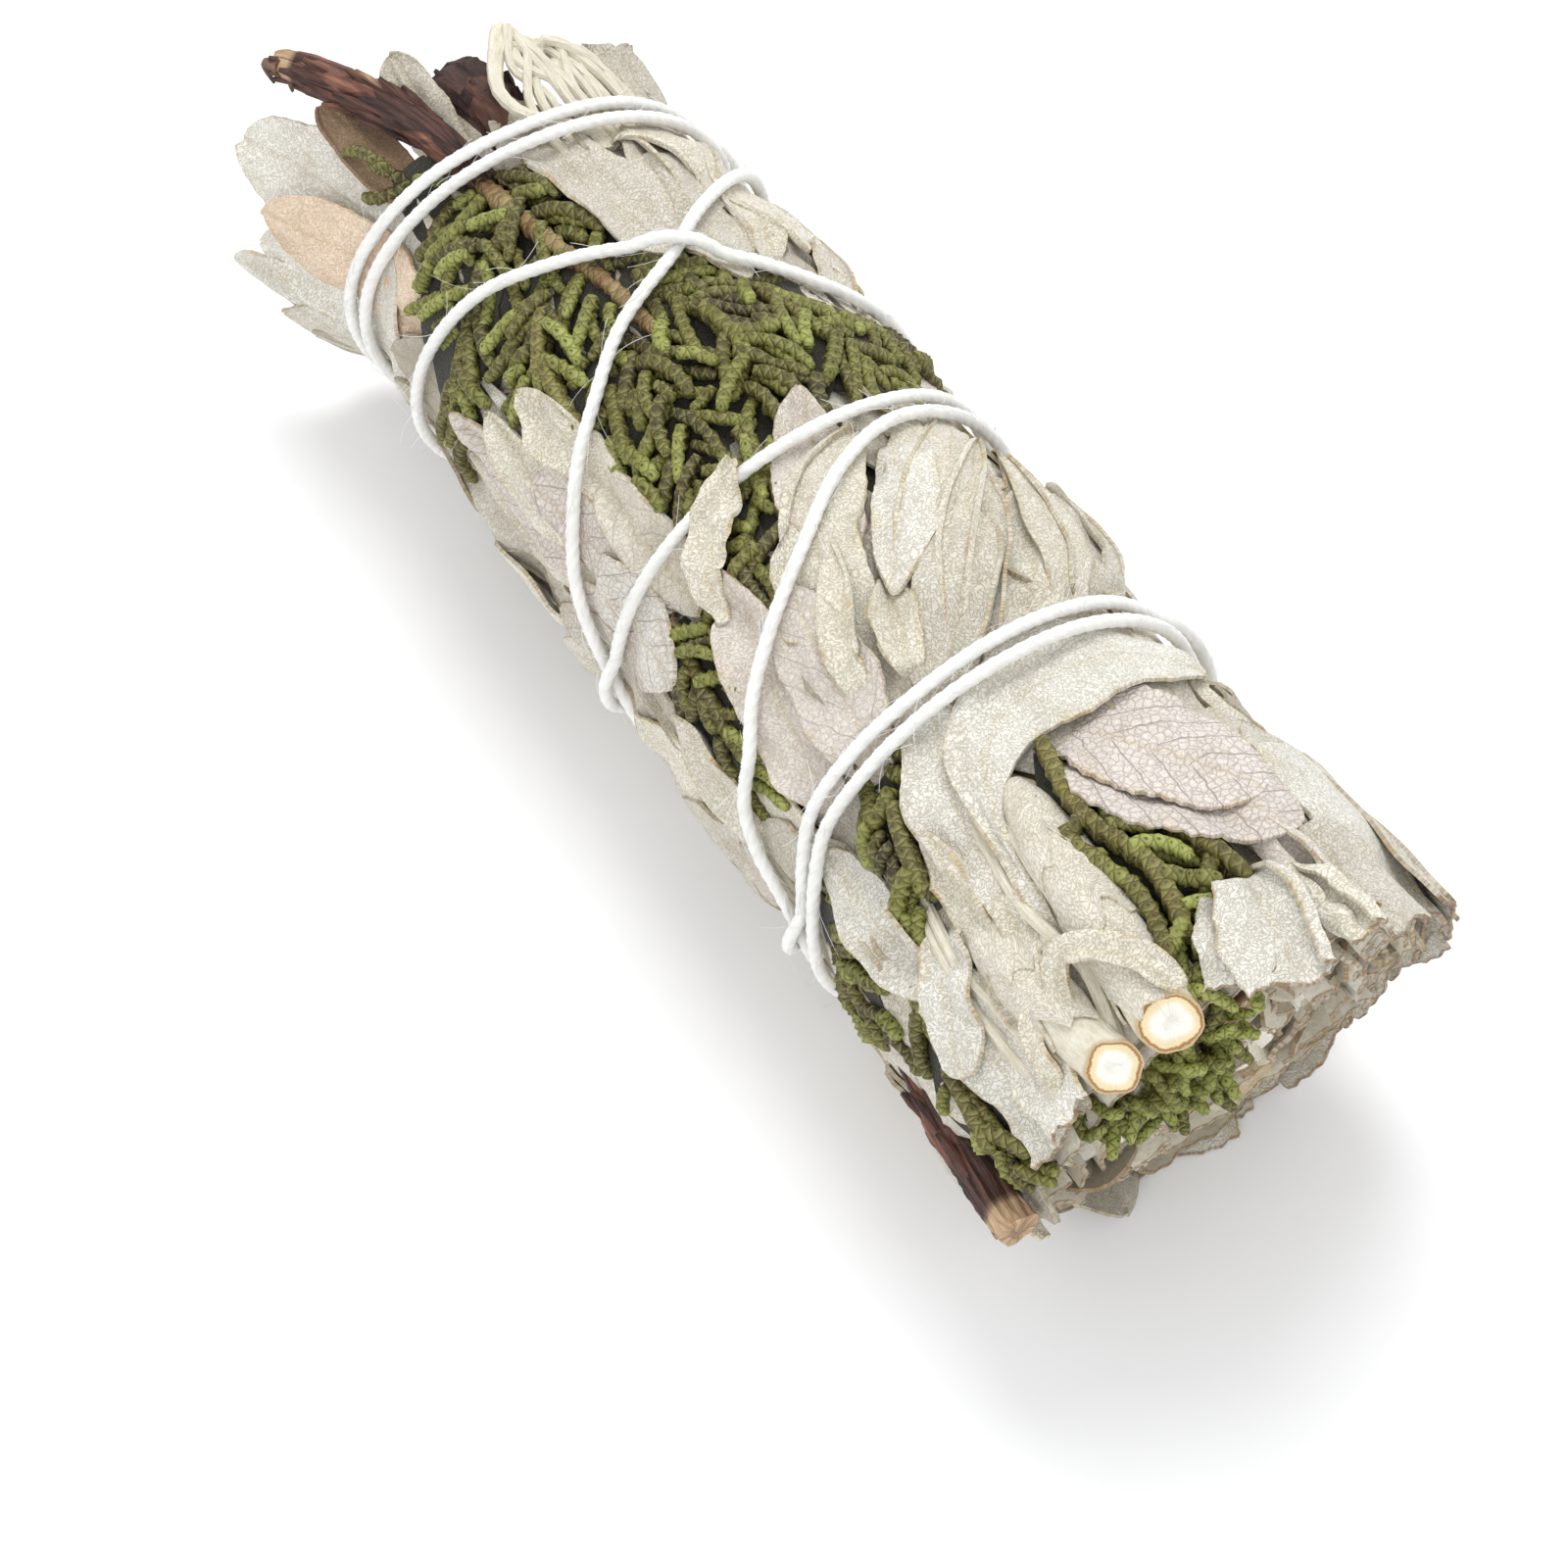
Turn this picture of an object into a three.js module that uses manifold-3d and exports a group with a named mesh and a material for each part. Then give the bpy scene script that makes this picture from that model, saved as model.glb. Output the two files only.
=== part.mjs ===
// A dried herb bundle: white sage and juniper sprigs laid side by side and bound with cotton twine.
// Millimetres. The bundle lies along X with its cut stems at +X and its leaf tips at -X, and rests on Z = 0.
// A place on it is given as x, the angle around the axis in degrees (0 on top, 90 at -Y) and the height
// above the packed core, so leaves, sprays and twine are all laid on the same rounded surface.
import * as THREE from "three";
import { mergeVertices } from "three/addons/utils/BufferGeometryUtils.js";
import Module from "manifold-3d";

const wasm = await Module();
wasm.setup();

// Driving sizes.
const axisHeight = 21;
const farEnd = -57;
const cutEnd = 60;
const farRadius = 17.4;
const cutRadius = 20.6;
const unrollRadius = 21.8;
const gap = 0.3;
const twineRadius = 0.75;
const twineHeight = 3.3;
const twineStep = 18;
const bladeThickness = 0.8;
const leafRow = 7;
const branchletRadius = 0.95;
const restHalfAngle = 34;
const smallestBody = 1;

const { degToRad, radToDeg, clamp, lerp, smoothstep } = THREE.MathUtils;

// Where the twine pulls the bundle in: [x, depth, width].
const waists = [
  [-51, 1, 6],
  [-4.5, 0.6, 4],
  [26, 0.8, 5],
];

// The packed core's radius at x.
function coreRadius(x) {
  const along = clamp((x - farEnd) / (cutEnd - farEnd), 0, 1);
  const pulled = waists.reduce((sum, [at, depth, width]) => sum + depth * Math.exp(-(((x - at) / width) ** 2)), 0);
  return lerp(farRadius, cutRadius, along) - pulled;
}

// A point at x, so many degrees around the axis and so far above the core.
function place(x, around, height) {
  const out = coreRadius(x) + height;
  const turn = degToRad(around);
  return new THREE.Vector3(x, -out * Math.sin(turn), axisHeight + out * Math.cos(turn));
}

// The unrolled surface is X and the arc length around it, which wraps at a full turn.
const fullTurn = 2 * Math.PI * unrollRadius;
const arcOf = (around) => degToRad(around) * unrollRadius;
const aroundOf = (arc) => radToDeg(arc / unrollRadius);

function unrolledDistance(ax, aArc, bx, bArc) {
  const across = aArc - bArc;
  return Math.hypot(ax - bx, across - fullTurn * Math.round(across / fullTurn));
}

// A smooth path through [x, around, height] points, as so many equal steps of the same.
function pathThrough(points, steps) {
  const unrolled = points.map(([x, around, height = 0]) => new THREE.Vector3(x, arcOf(around), height));
  const curve = new THREE.CatmullRomCurve3(unrolled, false, "centripetal");
  return curve.getSpacedPoints(steps).map((p) => [p.x, aroundOf(p.y), p.z]);
}

function unrolledLength(points) {
  return points.slice(1).reduce((sum, [x, around], i) => {
    return sum + Math.hypot(x - points[i][0], arcOf(around - points[i][1]));
  }, 0);
}

// The same draws on every run.
function seeded(seed) {
  let state = seed >>> 0;
  return (low, high) => {
    state = (Math.imul(state, 1664525) + 1013904223) >>> 0;
    return low + ((high - low) * state) / 4294967296;
  };
}

// A solid with a closed geometry's shape.
function solidOf(geometry) {
  geometry.deleteAttribute("normal");
  geometry.deleteAttribute("uv");
  const merged = mergeVertices(geometry, 1e-4);
  const vertProperties = merged.attributes.position.array;
  return new wasm.Manifold(new wasm.Mesh({ numProp: 3, vertProperties, triVerts: new Uint32Array(merged.index.array) }));
}

// Moves every corner of a geometry to where the rule sends it.
function reshape(geometry, rule) {
  const position = geometry.getAttribute("position");
  const corner = new THREE.Vector3();
  for (let i = 0; i < position.count; i++) {
    const moved = rule(corner.fromBufferAttribute(position, i));
    position.setXYZ(i, moved.x, moved.y, moved.z);
  }
  return geometry;
}

const joined = (solids) => wasm.Manifold.union(solids);

// A solid's largest body, without loose scraps and with its sealed hollows filled.
function mainBody(solid) {
  const bodies = solid.decompose().filter((body) => body.volume() > smallestBody);
  return bodies.sort((a, b) => b.volume() - a.volume())[0];
}

// A round rod turned on a lathe and bent along points, with a radius at each of them.
function rod(points, radii, sides, extra = 0) {
  const last = points.length - 1;
  const profile = radii.map((radius, i) => new THREE.Vector2(radius + extra, i));
  const turned = new THREE.LatheGeometry([new THREE.Vector2(0, 0), ...profile, new THREE.Vector2(0, last)], sides);
  const bent = reshape(turned, (corner) => {
    const i = Math.round(corner.y);
    const along = points[Math.min(last, i + 1)].clone().sub(points[Math.max(0, i - 1)]).normalize();
    const outward = new THREE.Vector3(0, points[i].y, points[i].z - axisHeight).normalize();
    const side = new THREE.Vector3().crossVectors(along, outward).normalize();
    const up = new THREE.Vector3().crossVectors(side, along);
    const end = i === 0 ? -extra : i === last ? extra : 0;
    const moved = points[i].clone().addScaledVector(along, end);
    return moved.addScaledVector(side, corner.x).addScaledVector(up, corner.z);
  });
  return solidOf(bent);
}

// A box of rows and columns whose underside is split into triangles like its top, so a waved blade stays as thick.
function evenBox(rows, columns) {
  const box = new THREE.BoxGeometry(1, 1, 1, rows, columns, 1);
  const corners = box.getIndex().array;
  const { start, count } = box.groups[5];
  for (let i = start; i < start + count; i += 6) {
    const [a, b, d, , c] = corners.slice(i, i + 5);
    corners.set([a, b, c, a, c, d], i);
  }
  return box;
}

// The twine's route as [x, angle wound so far]: angles 360 apart lie in one place, and its start lies topmost.
const twineRoute = [
  [32.5, -115], [29.5, -90], [26, -65], [24.4, -40], [24.2, -20], [24.2, 0], [24.3, 20], [24.2, 40], [24.6, 60],
  [26.2, 72], [27.8, 84], [27.4, 100], [23, 125], [15, 160], [10, 185], [5, 210], [-2.5, 260], [-5, 300],
  [-4.6, 340], [-4.5, 360], [-4.6, 400], [-4.6, 420], [-4.6, 440], [-5, 465], [-8, 520], [-13, 580],
  [-16.5, 640], [-18, 660], [-21, 682], [-26, 701], [-31.5, 721], [-36, 743], [-39.5, 762], [-41.5, 785],
  [-42.5, 810], [-43.5, 860], [-43.5, 930], [-47, 980], [-50, 1010], [-51.3, 1045], [-52, 1080], [-54.5, 1120],
  [-56.5, 1160], [-56.5, 1190], [-55, 1250], [-50.5, 1310], [-48.4, 1350], [-48.8, 1405], [-49.8, 1440],
  [-52.2, 1480], [-54, 1520], [-53.5, 1560], [-50, 1620], [-44, 1690], [-41, 1740], [-33.5, 1780],
  [-29.2, 1796], [-25, 1820], [-21, 1836], [-18, 1850], [-15, 1862], [-12, 1875], [-8, 1888], [-3.5, 1905],
  [3, 1945], [5.5, 1965], [5, 1990], [2.5, 2030], [0, 2070], [-2.2, 2110], [-2, 2139], [1, 2160], [6, 2180],
  [10.5, 2200], [13.2, 2212], [16, 2222], [18, 2235], [21, 2244], [25, 2253], [28, 2264], [28.8, 2290],
  [28.8, 2340], [28.3, 2400], [27.4, 2450], [26.5, 2495], [26.4, 2520], [26.3, 2540], [26.4, 2560],
  [26.8, 2580], [28.4, 2592], [30, 2604], [30.8, 2620], [31, 2650], [31.5, 2700], [32.5, 2765],
];
const twineWound = twineRoute[twineRoute.length - 1][1] - twineRoute[0][1];
const finePerStep = 6;
const twineSteps = Math.round(twineWound / twineStep);
const twineTrack = pathThrough(twineRoute, twineSteps * finePerStep).map(([x, around]) => [x, arcOf(around)]);

function distanceToTwine(x, arc) {
  return Math.min(...twineTrack.map(([twineX, twineArc]) => unrolledDistance(x, arc, twineX, twineArc)));
}

// The twine's middle line. Each strand is humped over those that it crosses further along the route.
function twineLine() {
  const humps = twineTrack.map(() => 0);
  const across = 2 * twineRadius + gap;
  for (let i = twineTrack.length - 1; i >= 0; i--) {
    for (let j = twineTrack.length - 1; j > i + 3 * finePerStep; j--) {
      if (unrolledDistance(...twineTrack[i], ...twineTrack[j]) > across) continue;
      for (let k = Math.max(0, i - finePerStep); k <= i + finePerStep; k++) {
        humps[k] = Math.max(humps[k], humps[j] + across + 0.15);
      }
    }
  }
  return Array.from({ length: twineSteps + 1 }, (_, step) => {
    const [x, arc] = twineTrack[step * finePerStep];
    const p = place(x, aroundOf(arc), twineHeight + humps[step * finePerStep]);
    p.z = Math.max(p.z, twineRadius + 0.25);
    return p;
  });
}

// A leaf laid on the bundle along a path from its root, which is sunk in the core, to its free tip.
// over is its height above the core, lift how far the tip stands up, cup how far the sides stand up.
// A narrow leaf and a flat one have no middle line of corners.
function leafSolid({ path, wide, over, lift = 0.5, cup = 0.3, flat = wide < 6 }) {
  const rows = clamp(Math.round(unrolledLength(path) / leafRow), 3, 7);
  const line = pathThrough(path, rows);
  const overTwine = over > twineHeight;
  const laid = reshape(evenBox(rows, flat ? 1 : 2), (corner) => {
    const i = Math.round((corner.x + 0.5) * rows);
    const t = i / rows;
    const v = Math.round(corner.y * 2);
    const [x, around] = line[i];
    const [nextX, nextAround] = line[Math.min(rows, i + 1)];
    const [lastX, lastAround] = line[Math.max(0, i - 1)];
    const along = new THREE.Vector2(nextX - lastX, arcOf(nextAround - lastAround)).normalize();
    const half = (wide / 2) * leafOutline(t) * (i % 2 ? 1.07 : 0.93);
    const edgeX = x + along.y * half * v;
    const edgeArc = arcOf(around) - along.x * half * v;
    const waved = cup * v * v + 0.3 * Math.abs(v) * Math.sin(i * 2.1 + v);
    const free = lerp(-1, over, smoothstep(t, 0, 0.25)) + lift * t ** 3 + waved;
    const pressed = lerp(1.5, 4, smoothstep(distanceToTwine(edgeX, edgeArc), 1, 6));
    const height = overTwine ? free : Math.min(free, pressed);
    const thin = overTwine || t > 0.7 || x < farEnd + 2 || x > cutEnd - 2;
    const under = thin ? height - bladeThickness : -1.6;
    return place(edgeX, aroundOf(edgeArc), corner.z > 0 ? height : under);
  });
  return solidOf(laid);
}

// A sage leaf's half width along its length, 1 at its widest.
function leafOutline(t) {
  return 0.16 + 0.84 * Math.sin(Math.PI * clamp(t ** 0.85 * 0.93 + 0.05, 0, 1)) ** 0.7;
}

// Leaves of the side seen from above, from the lowest to the topmost: [x, around] from root to tip.
const laidLeaves = [
  { path: [[-40, 120], [-52, 120], [-64, 118]], wide: 9, over: 1, lift: 1.5 },
  { path: [[-38, 108], [-50, 108], [-62, 106]], wide: 9, over: 1.4, lift: 1.5 },
  { path: [[-40, 98], [-54, 96], [-68, 95]], wide: 9, over: 1.6, lift: 1.8 },
  { path: [[-44, 88], [-58, 84], [-70, 80]], wide: 10, over: 1.8, lift: 2 },
  { path: [[-42, 80], [-56, 76], [-74, 72]], wide: 12, over: 2.2, lift: 3 },
  { path: [[-38, 86], [-46, 77], [-56, 70]], wide: 7, over: 1.6 },
  { path: [[-44, -66], [-54, -66], [-62, -62]], wide: 10, over: 1.5 },
  { path: [[-44, -50], [-54, -48], [-62, -44]], wide: 9, over: 2 },
  { path: [[-46, -8], [-56, -14], [-63, -20]], wide: 4, over: 1.8, lift: 1 },
  { path: [[-48, -20], [-56, -24], [-64, -30]], wide: 4, over: 1.8, lift: 0.4 },
  { path: [[-42, -56], [-34, -57], [-24, -58]], wide: 6, over: 2.2, lift: 1.2 },
  { path: [[-46, -24], [-36, -22], [-24, -19]], wide: 8, over: 1.8 },
  { path: [[-50, -20], [-43, -28], [-36, -38]], wide: 4.5, over: 2.3 },
  { path: [[-44, -42], [-36, -42], [-26, -43]], wide: 5.5, over: 2.4, lift: 1.2 },
  { path: [[-54, -6], [-42, -5], [-29, -7]], wide: 8.5, over: 2.3 },
  { path: [[-14, 112], [-24, 110], [-37, 106]], wide: 7, over: 1.8, lift: 1.6 },
  { path: [[-10, 80], [-24, 86], [-41, 96]], wide: 9, over: 1.5, lift: 0.8 },
  { path: [[-6, 100], [-16, 102], [-27, 103]], wide: 7.5, over: 2.4, lift: 1.8 },
  { path: [[-10, 67], [-22, 66], [-34, 60]], wide: 6.5, over: 2 },
  { path: [[-14, 46], [-20, 45], [-27, 47]], wide: 6.5, over: 2.3, lift: 1 },
  { path: [[4, 52], [-5, 49], [-15, 45]], wide: 9, over: 1.8 },
  { path: [[-12, 74], [-4, 70], [5, 65]], wide: 8.5, over: 2 },
  { path: [[4, 100], [-5, 100], [-14, 106]], wide: 9, over: 2.3, lift: 1.5 },
  { path: [[4, 108], [14, 112], [27, 114]], wide: 7.5, over: 1.8, lift: 1.8 },
  { path: [[18, 92], [10, 92], [0, 97]], wide: 6.5, over: 2.1, lift: 1 },
  { path: [[22, 84], [14, 80], [7, 75]], wide: 5.5, over: 2 },
  { path: [[22, 6], [12, -12], [-1, -40]], wide: 8.5, over: 1.6 },
  { path: [[24, -36], [18, -44], [12, -50]], wide: 6, over: 2, lift: 1.2 },
  { path: [[27, -6], [20, -20], [12, -34]], wide: 8, over: 1.8 },
  { path: [[16, 4], [7, -12], [-3, -31]], wide: 5.5, over: 2.1 },
  { path: [[10, 14], [0, 4], [-9, -5]], wide: 7, over: 1.8 },
  { path: [[23, 20], [10, 14], [-4, -12]], wide: 9.5, over: 2.1 },
  { path: [[0, -18], [6, -11], [13, 2]], wide: 4.8, over: 2.6 },
  { path: [[26, 8], [18, -8], [9, -32]], wide: 7.5, over: 2.4 },
  { path: [[26, 56], [14, 46], [4, 37]], wide: 7, over: 1.8 },
  { path: [[32, 44], [20, 36], [9, 32]], wide: 9, over: 2.1 },
  { path: [[46, 60], [38, 66], [28, 70]], wide: 5.5, over: 2 },
  { path: [[46, 42], [36, 32], [26, 20]], wide: 6, over: 2 },
  { path: [[34, 2], [44, -8], [55, -27]], wide: 11, over: 2.3 },
  { path: [[33, -6], [42, -12], [51, -21]], wide: 10, over: 2.8 },
  { path: [[36, -44], [50, -44], [63, -46]], wide: 14, over: 2 },
  { path: [[40, -64], [52, -66], [62, -68]], wide: 12, over: 1.5 },
  { path: [[50, -24], [57, -30], [63, -36]], wide: 4, over: 2.2, cup: 1 },
  { path: [[52, 2], [58, -2], [65, -6]], wide: 9, over: 0.6, lift: 1.6, cup: 1.4 },
  { path: [[46, 60], [56, 60], [64, 60]], wide: 6, over: 1.5 },
  { path: [[38, 54], [45, 62], [51, 74]], wide: 5, over: 2.8 },
  { path: [[50, 40], [42, 36], [34, 16], [30, -4], [30, -24], [33, -44]], wide: 10, over: 2.4 },
  { path: [[12, 46], [3, 39], [-7, 26]], wide: 5.5, over: 5.2, cup: 0.2 },
];

// Leaves of the far side and underneath, in overlapping rows.
function backLeaves() {
  const draw = seeded(7);
  return Array.from({ length: 25 }, (_, i) => {
    const row = i % 5;
    const root = -32 + row * 22 + draw(-3, 3);
    const around = 136 + Math.floor(i / 5) * 32 + (row % 2) * 14 + draw(-4, 4);
    const length = draw(25, 31);
    const turn = draw(-9, 9);
    const path = [[root, around], [root - length / 2, around + turn / 2], [root - length, around + turn]];
    return { path, wide: draw(11, 14.5), over: draw(1.2, 2), lift: draw(0.3, 1.4), flat: true };
  });
}

// Leaf tips that fill the open end at -X, inside the outer ones.
function innerTips() {
  const draw = seeded(23);
  return Array.from({ length: 10 }, (_, i) => {
    const around = i * 49 + draw(-12, 12);
    const path = [[-46, around], [-54, around + 3], [draw(-65, -60), around + 6]];
    return { path, wide: draw(7, 10), over: i < 7 ? draw(-6, -3.5) : draw(-12, -9), lift: 0.3, flat: true };
  });
}

// Curved cut edges of folded leaves, standing out of the end at +X.
function cutEdges() {
  const draw = seeded(41);
  return Array.from({ length: 15 }, (_, i) => {
    const out = 5 + 13.5 * Math.sqrt((i + 0.5) / 15);
    const start = degToRad(i * 137.5 + draw(-10, 10));
    const sweep = draw(9, 15) / out;
    const reach = draw(61.2, 63);
    const sheet = reshape(evenBox(1, 2), (corner) => {
      const t = corner.y + 0.5;
      const radius = out + 1.2 * Math.sin(t * 5 + i) + corner.z * 0.9;
      const turn = start - sweep * t;
      const x = corner.x > 0 ? reach : cutEnd - 4;
      return new THREE.Vector3(x, -radius * Math.sin(turn), axisHeight + radius * Math.cos(turn));
    });
    return solidOf(sheet);
  });
}

// The packed inner leaves, turned round and pressed flat underneath.
function coreSolid() {
  const stations = [farEnd, -51, -44, -30, -14, -4.5, 5, 18, 26, 34, 46, cutEnd];
  const profile = stations.map((x) => new THREE.Vector2(coreRadius(x), x));
  const ends = [farEnd, cutEnd].map((x) => new THREE.Vector2(0, x));
  const turned = new THREE.LatheGeometry([ends[0], ...profile, ends[1]], 20);
  const packed = reshape(turned, ({ x, y, z }) => {
    const around = Math.abs(Math.atan2(x, -z));
    const pressed = around < degToRad(restHalfAngle) && Math.hypot(x, z) > 5;
    return new THREE.Vector3(y, -x, pressed ? -1 : axisHeight + z);
  });
  return solidOf(packed);
}

// Sage stems: [y, z, radius] of the ones packed inside, and paths of the two that show.
const packedStems = [
  [-6, 9, 2.1], [6, 11, 2.4], [-1, 19, 2.7], [9.5, 23, 2.2], [-9.5, 22, 2.3],
];
const shownStems = [
  { path: [[38, 47, -0.3], [47, 45, 0.7], [55, 42.5, 1.1], [62, 40, 1.3]], radius: 2.3 },
  { path: [[36, 17.5, 0.2], [45, 19.5, 1], [54, 22, 1.3], [62.5, 24, 1.4]], radius: 2.8 },
];

function stemSolids(extra) {
  const packed = packedStems.map(([y, z, radius], i) => {
    const points = [-30, 20, 61.8 + (i % 3) * 0.6].map((x) => new THREE.Vector3(x, y, z));
    return rod(points, [radius * 0.7, radius * 0.9, radius], 8, extra);
  });
  const shown = shownStems.map(({ path, radius }) => {
    const points = pathThrough(path, 4).map(([x, around, height]) => place(x, around, height));
    return rod(points, points.map(() => radius), 10, extra);
  });
  return [...shown, ...packed];
}

// Juniper's woody twigs: paths of [x, around, height], with the radius at each end.
const woodyTwigs = [
  { path: [[-78.5, 41, 4.6], [-69, 33.5, 2.9], [-60, 26, 1.2], [-51, 19.5, 0]], radii: [2.2, 1.5] },
  { path: [[-65, 8, -4.5], [-58, 6, -5], [-48, 5, -5.5]], radii: [3.4, 2.4] },
  { path: [[42, 101, 0.6], [52, 99, 1.2], [63, 97, 1.6]], radii: [1.8, 2.3] },
  { path: [[48, 6, -6], [56, 6, -6], [63, 6, -6]], radii: [1.8, 2] },
];

function twigSolids(extra) {
  return woodyTwigs.map(({ path, radii }) => {
    const steps = 5;
    const points = pathThrough(path, steps).map(([x, around, height]) => place(x, around, height));
    const sizes = points.map((_, i) => lerp(...radii, i / steps) * (i % 2 ? 1.06 : 0.94));
    return rod(points, sizes, 8, extra);
  });
}

// Green juniper sprays. Each axis is a path of [x, around, height]; branchlets leave it on both sides.
const sprays = [
  {
    name: "juniper_spray_main",
    axes: [
      [[-49.5, 18, 0.9], [-38, 17, 1.2], [-28, 20, 1.2], [-16, 22, 1.2], [-4, 27, 1.2]],
      [[-46, 18, 1], [-52, 34, 1.2], [-60, 46, 1.2]],
      [[-44, 18, 1.1], [-42, 40, 1.2], [-38, 62, 1.2], [-34, 80, 1.2]],
      [[-38, 17, 1.2], [-32, 34, 1.2], [-25, 50, 1.2]],
      [[-28, 20, 1.2], [-20, 34, 1.2], [-10, 42, 1.2]],
      [[-36, 17, 1.2], [-28, 5, 1.2], [-18, -2, 1.2], [-8, 4, 1.2]],
      [[-16, 22, 1.2], [-8, 12, 1.2], [2, 18, 1.2], [6, 28, 1.2]],
    ],
    every: 4.3, long: 8, seed: 31,
  },
  {
    name: "juniper_spray_right",
    axes: [
      [[-29, -12, 1.2], [-21, -20, 1.2], [-13, -26, 1.2], [-7, -34, 1.2]],
      [[-20, -21, 1.2], [-16, -40, 1.2], [-9, -52, 1.2]],
    ],
    every: 3.2, long: 7.5, seed: 5,
  },
  { name: "juniper_spray_left", axes: [[[1, 59, 1.2], [8, 64, 1.2], [16, 73, 1.2]]], every: 3, long: 5, seed: 8 },
  { name: "juniper_spray_middle", axes: [[[21, 31, 1.2], [30, 41, 1.2], [40, 50, 1.4]]], every: 3.4, long: 4.5, seed: 9 },
  { name: "juniper_spray_edge", axes: [[[30, 82, 1.2], [37, 86, 1.4], [43, 91, 1.2]]], every: 3, long: 4.5, seed: 11 },
  {
    name: "juniper_spray_cut_end",
    axes: [
      [[35, 6, 1.2], [45, 8, 1.4], [55, 8, 1.2], [62, 10, 0.4], [63.6, 17, -3], [63.6, 32, -4.5], [63.6, 48, -5]],
      [[42, 6, 1.3], [50, -4, 1.5], [59, -15, 1.4]],
      [[62.6, 12, -1.5], [64, 12, -6], [64, 26, -10]],
    ],
    every: 3.4, long: 6, seed: 13,
  },
  {
    name: "juniper_spray_stem_side",
    axes: [[[43, 67, 1.2], [50, 71, 1.6], [58, 78, 1.8], [63, 82, 1.6]]],
    every: 3.6, long: 4.5, seed: 17,
  },
];

// Whether a leaf of the seen side lies over a place.
function underLeaf(x, around) {
  return laidLeaves.some(({ path, wide }) =>
    pathThrough(path, 6).some(([leafX, leafAround], i) => {
      return unrolledDistance(x, arcOf(around), leafX, arcOf(leafAround)) < (wide / 2) * leafOutline(i / 6) + 0.9;
    }),
  );
}

// One branchlet as [x, around, height] points: it leaves a spray's axis on one side and curves forward.
function branchlet([x, around, height], heading, side, reach, draw) {
  const leaving = heading + side * draw(0.6, 1);
  const turning = -side * draw(0.1, 0.5);
  const rise = draw(0, 1.4);
  return [0, 0.5, 1].map((t) => {
    const angle = leaving + turning * t;
    const arc = arcOf(around) + reach * t * Math.sin(angle);
    const tipX = x + reach * t * Math.cos(angle);
    const pressed = smoothstep(distanceToTwine(tipX, arc), 2, 5);
    return [tipX, aroundOf(arc), height + rise * pressed * Math.sin(t * 2.2)];
  });
}

// A spray's axes and branchlets as lists of points. A branchlet that would run under a leaf is shorter or left out.
function spraySprigs({ axes, every, long, seed }) {
  const draw = seeded(seed);
  return axes.flatMap((axis) => {
    const steps = Math.max(4, Math.round(unrolledLength(axis) / every));
    const line = pathThrough(axis, steps);
    const sides = line.slice(1, -1).map((from, i) => {
      const [nextX, nextAround] = line[i + 2];
      const heading = Math.atan2(arcOf(nextAround - from[1]), nextX - from[0]);
      const reach = long * draw(0.7, 1.15);
      const tries = [1, 0.7, 0.5].map((part) => branchlet(from, heading, i % 2 ? 1 : -1, reach * part, draw));
      return tries.find((points) => !points.slice(1).some(([x, around]) => underLeaf(x, around)));
    });
    return [line, ...sides.filter(Boolean)];
  });
}

function spraySolid(spray, extra) {
  const sprigs = spraySprigs(spray).map((sprig) => {
    const points = sprig.map(([x, around, height]) => place(x, around, height));
    return rod(points, points.map((_, i) => branchletRadius * (i === points.length - 1 ? 0.75 : 1)), 3, extra);
  });
  return joined(sprigs);
}

// The knot that ties the twine's two ends on the far side, with its two tails.
function knotSolids(start, end, extra) {
  const centre = start.clone().add(end).multiplyScalar(0.5);
  const ball = solidOf(new THREE.IcosahedronGeometry(1.9 + extra, 1).translate(...centre));
  const tails = [place(37.5, -129, 2.9), place(39, -104, 2.9)].map((tip) => {
    const bend = centre.clone().lerp(tip, 0.5).add(new THREE.Vector3(0, 1.2, 0));
    return rod([centre, bend, tip], [twineRadius, twineRadius, twineRadius], 6, extra);
  });
  return [ball, ...tails];
}

function twineSolid(extra) {
  const line = twineLine();
  const sides = 5;
  const section = Array.from({ length: sides }, (_, i) => {
    return new THREE.Vector2(twineRadius + extra, 0).rotateAround(new THREE.Vector2(), (i * 2 * Math.PI) / sides);
  });
  const extrudePath = new THREE.CatmullRomCurve3(line, false, "centripetal");
  const options = { steps: line.length - 1, bevelEnabled: false, extrudePath };
  const wound = solidOf(new THREE.ExtrudeGeometry(new THREE.Shape(section), options));
  return joined([wound, ...knotSolids(line[0], line[line.length - 1], extra)]);
}

// Everything below the resting plane.
const floor = solidOf(new THREE.BoxGeometry(300, 200, 40).translate(0, 0, -20));
const stems = stemSolids(0);
const twigs = twigSolids(0);
const twine = twineSolid(0);
const clearOfRods = joined([...stemSolids(gap), ...twigSolids(gap), twineSolid(gap)]);

const sprayNodes = [];
const claimed = [clearOfRods, floor];
for (const spray of sprays) {
  const solid = mainBody(spraySolid(spray, 0).subtract(joined(claimed)));
  sprayNodes.push([spray.name, solid]);
  claimed.push(spraySolid(spray, gap));
}

const leaves = [...innerTips(), ...backLeaves(), ...laidLeaves].map(leafSolid);
const sage = mainBody(joined([coreSolid(), ...cutEdges(), ...leaves]).subtract(joined(claimed)));

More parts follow.
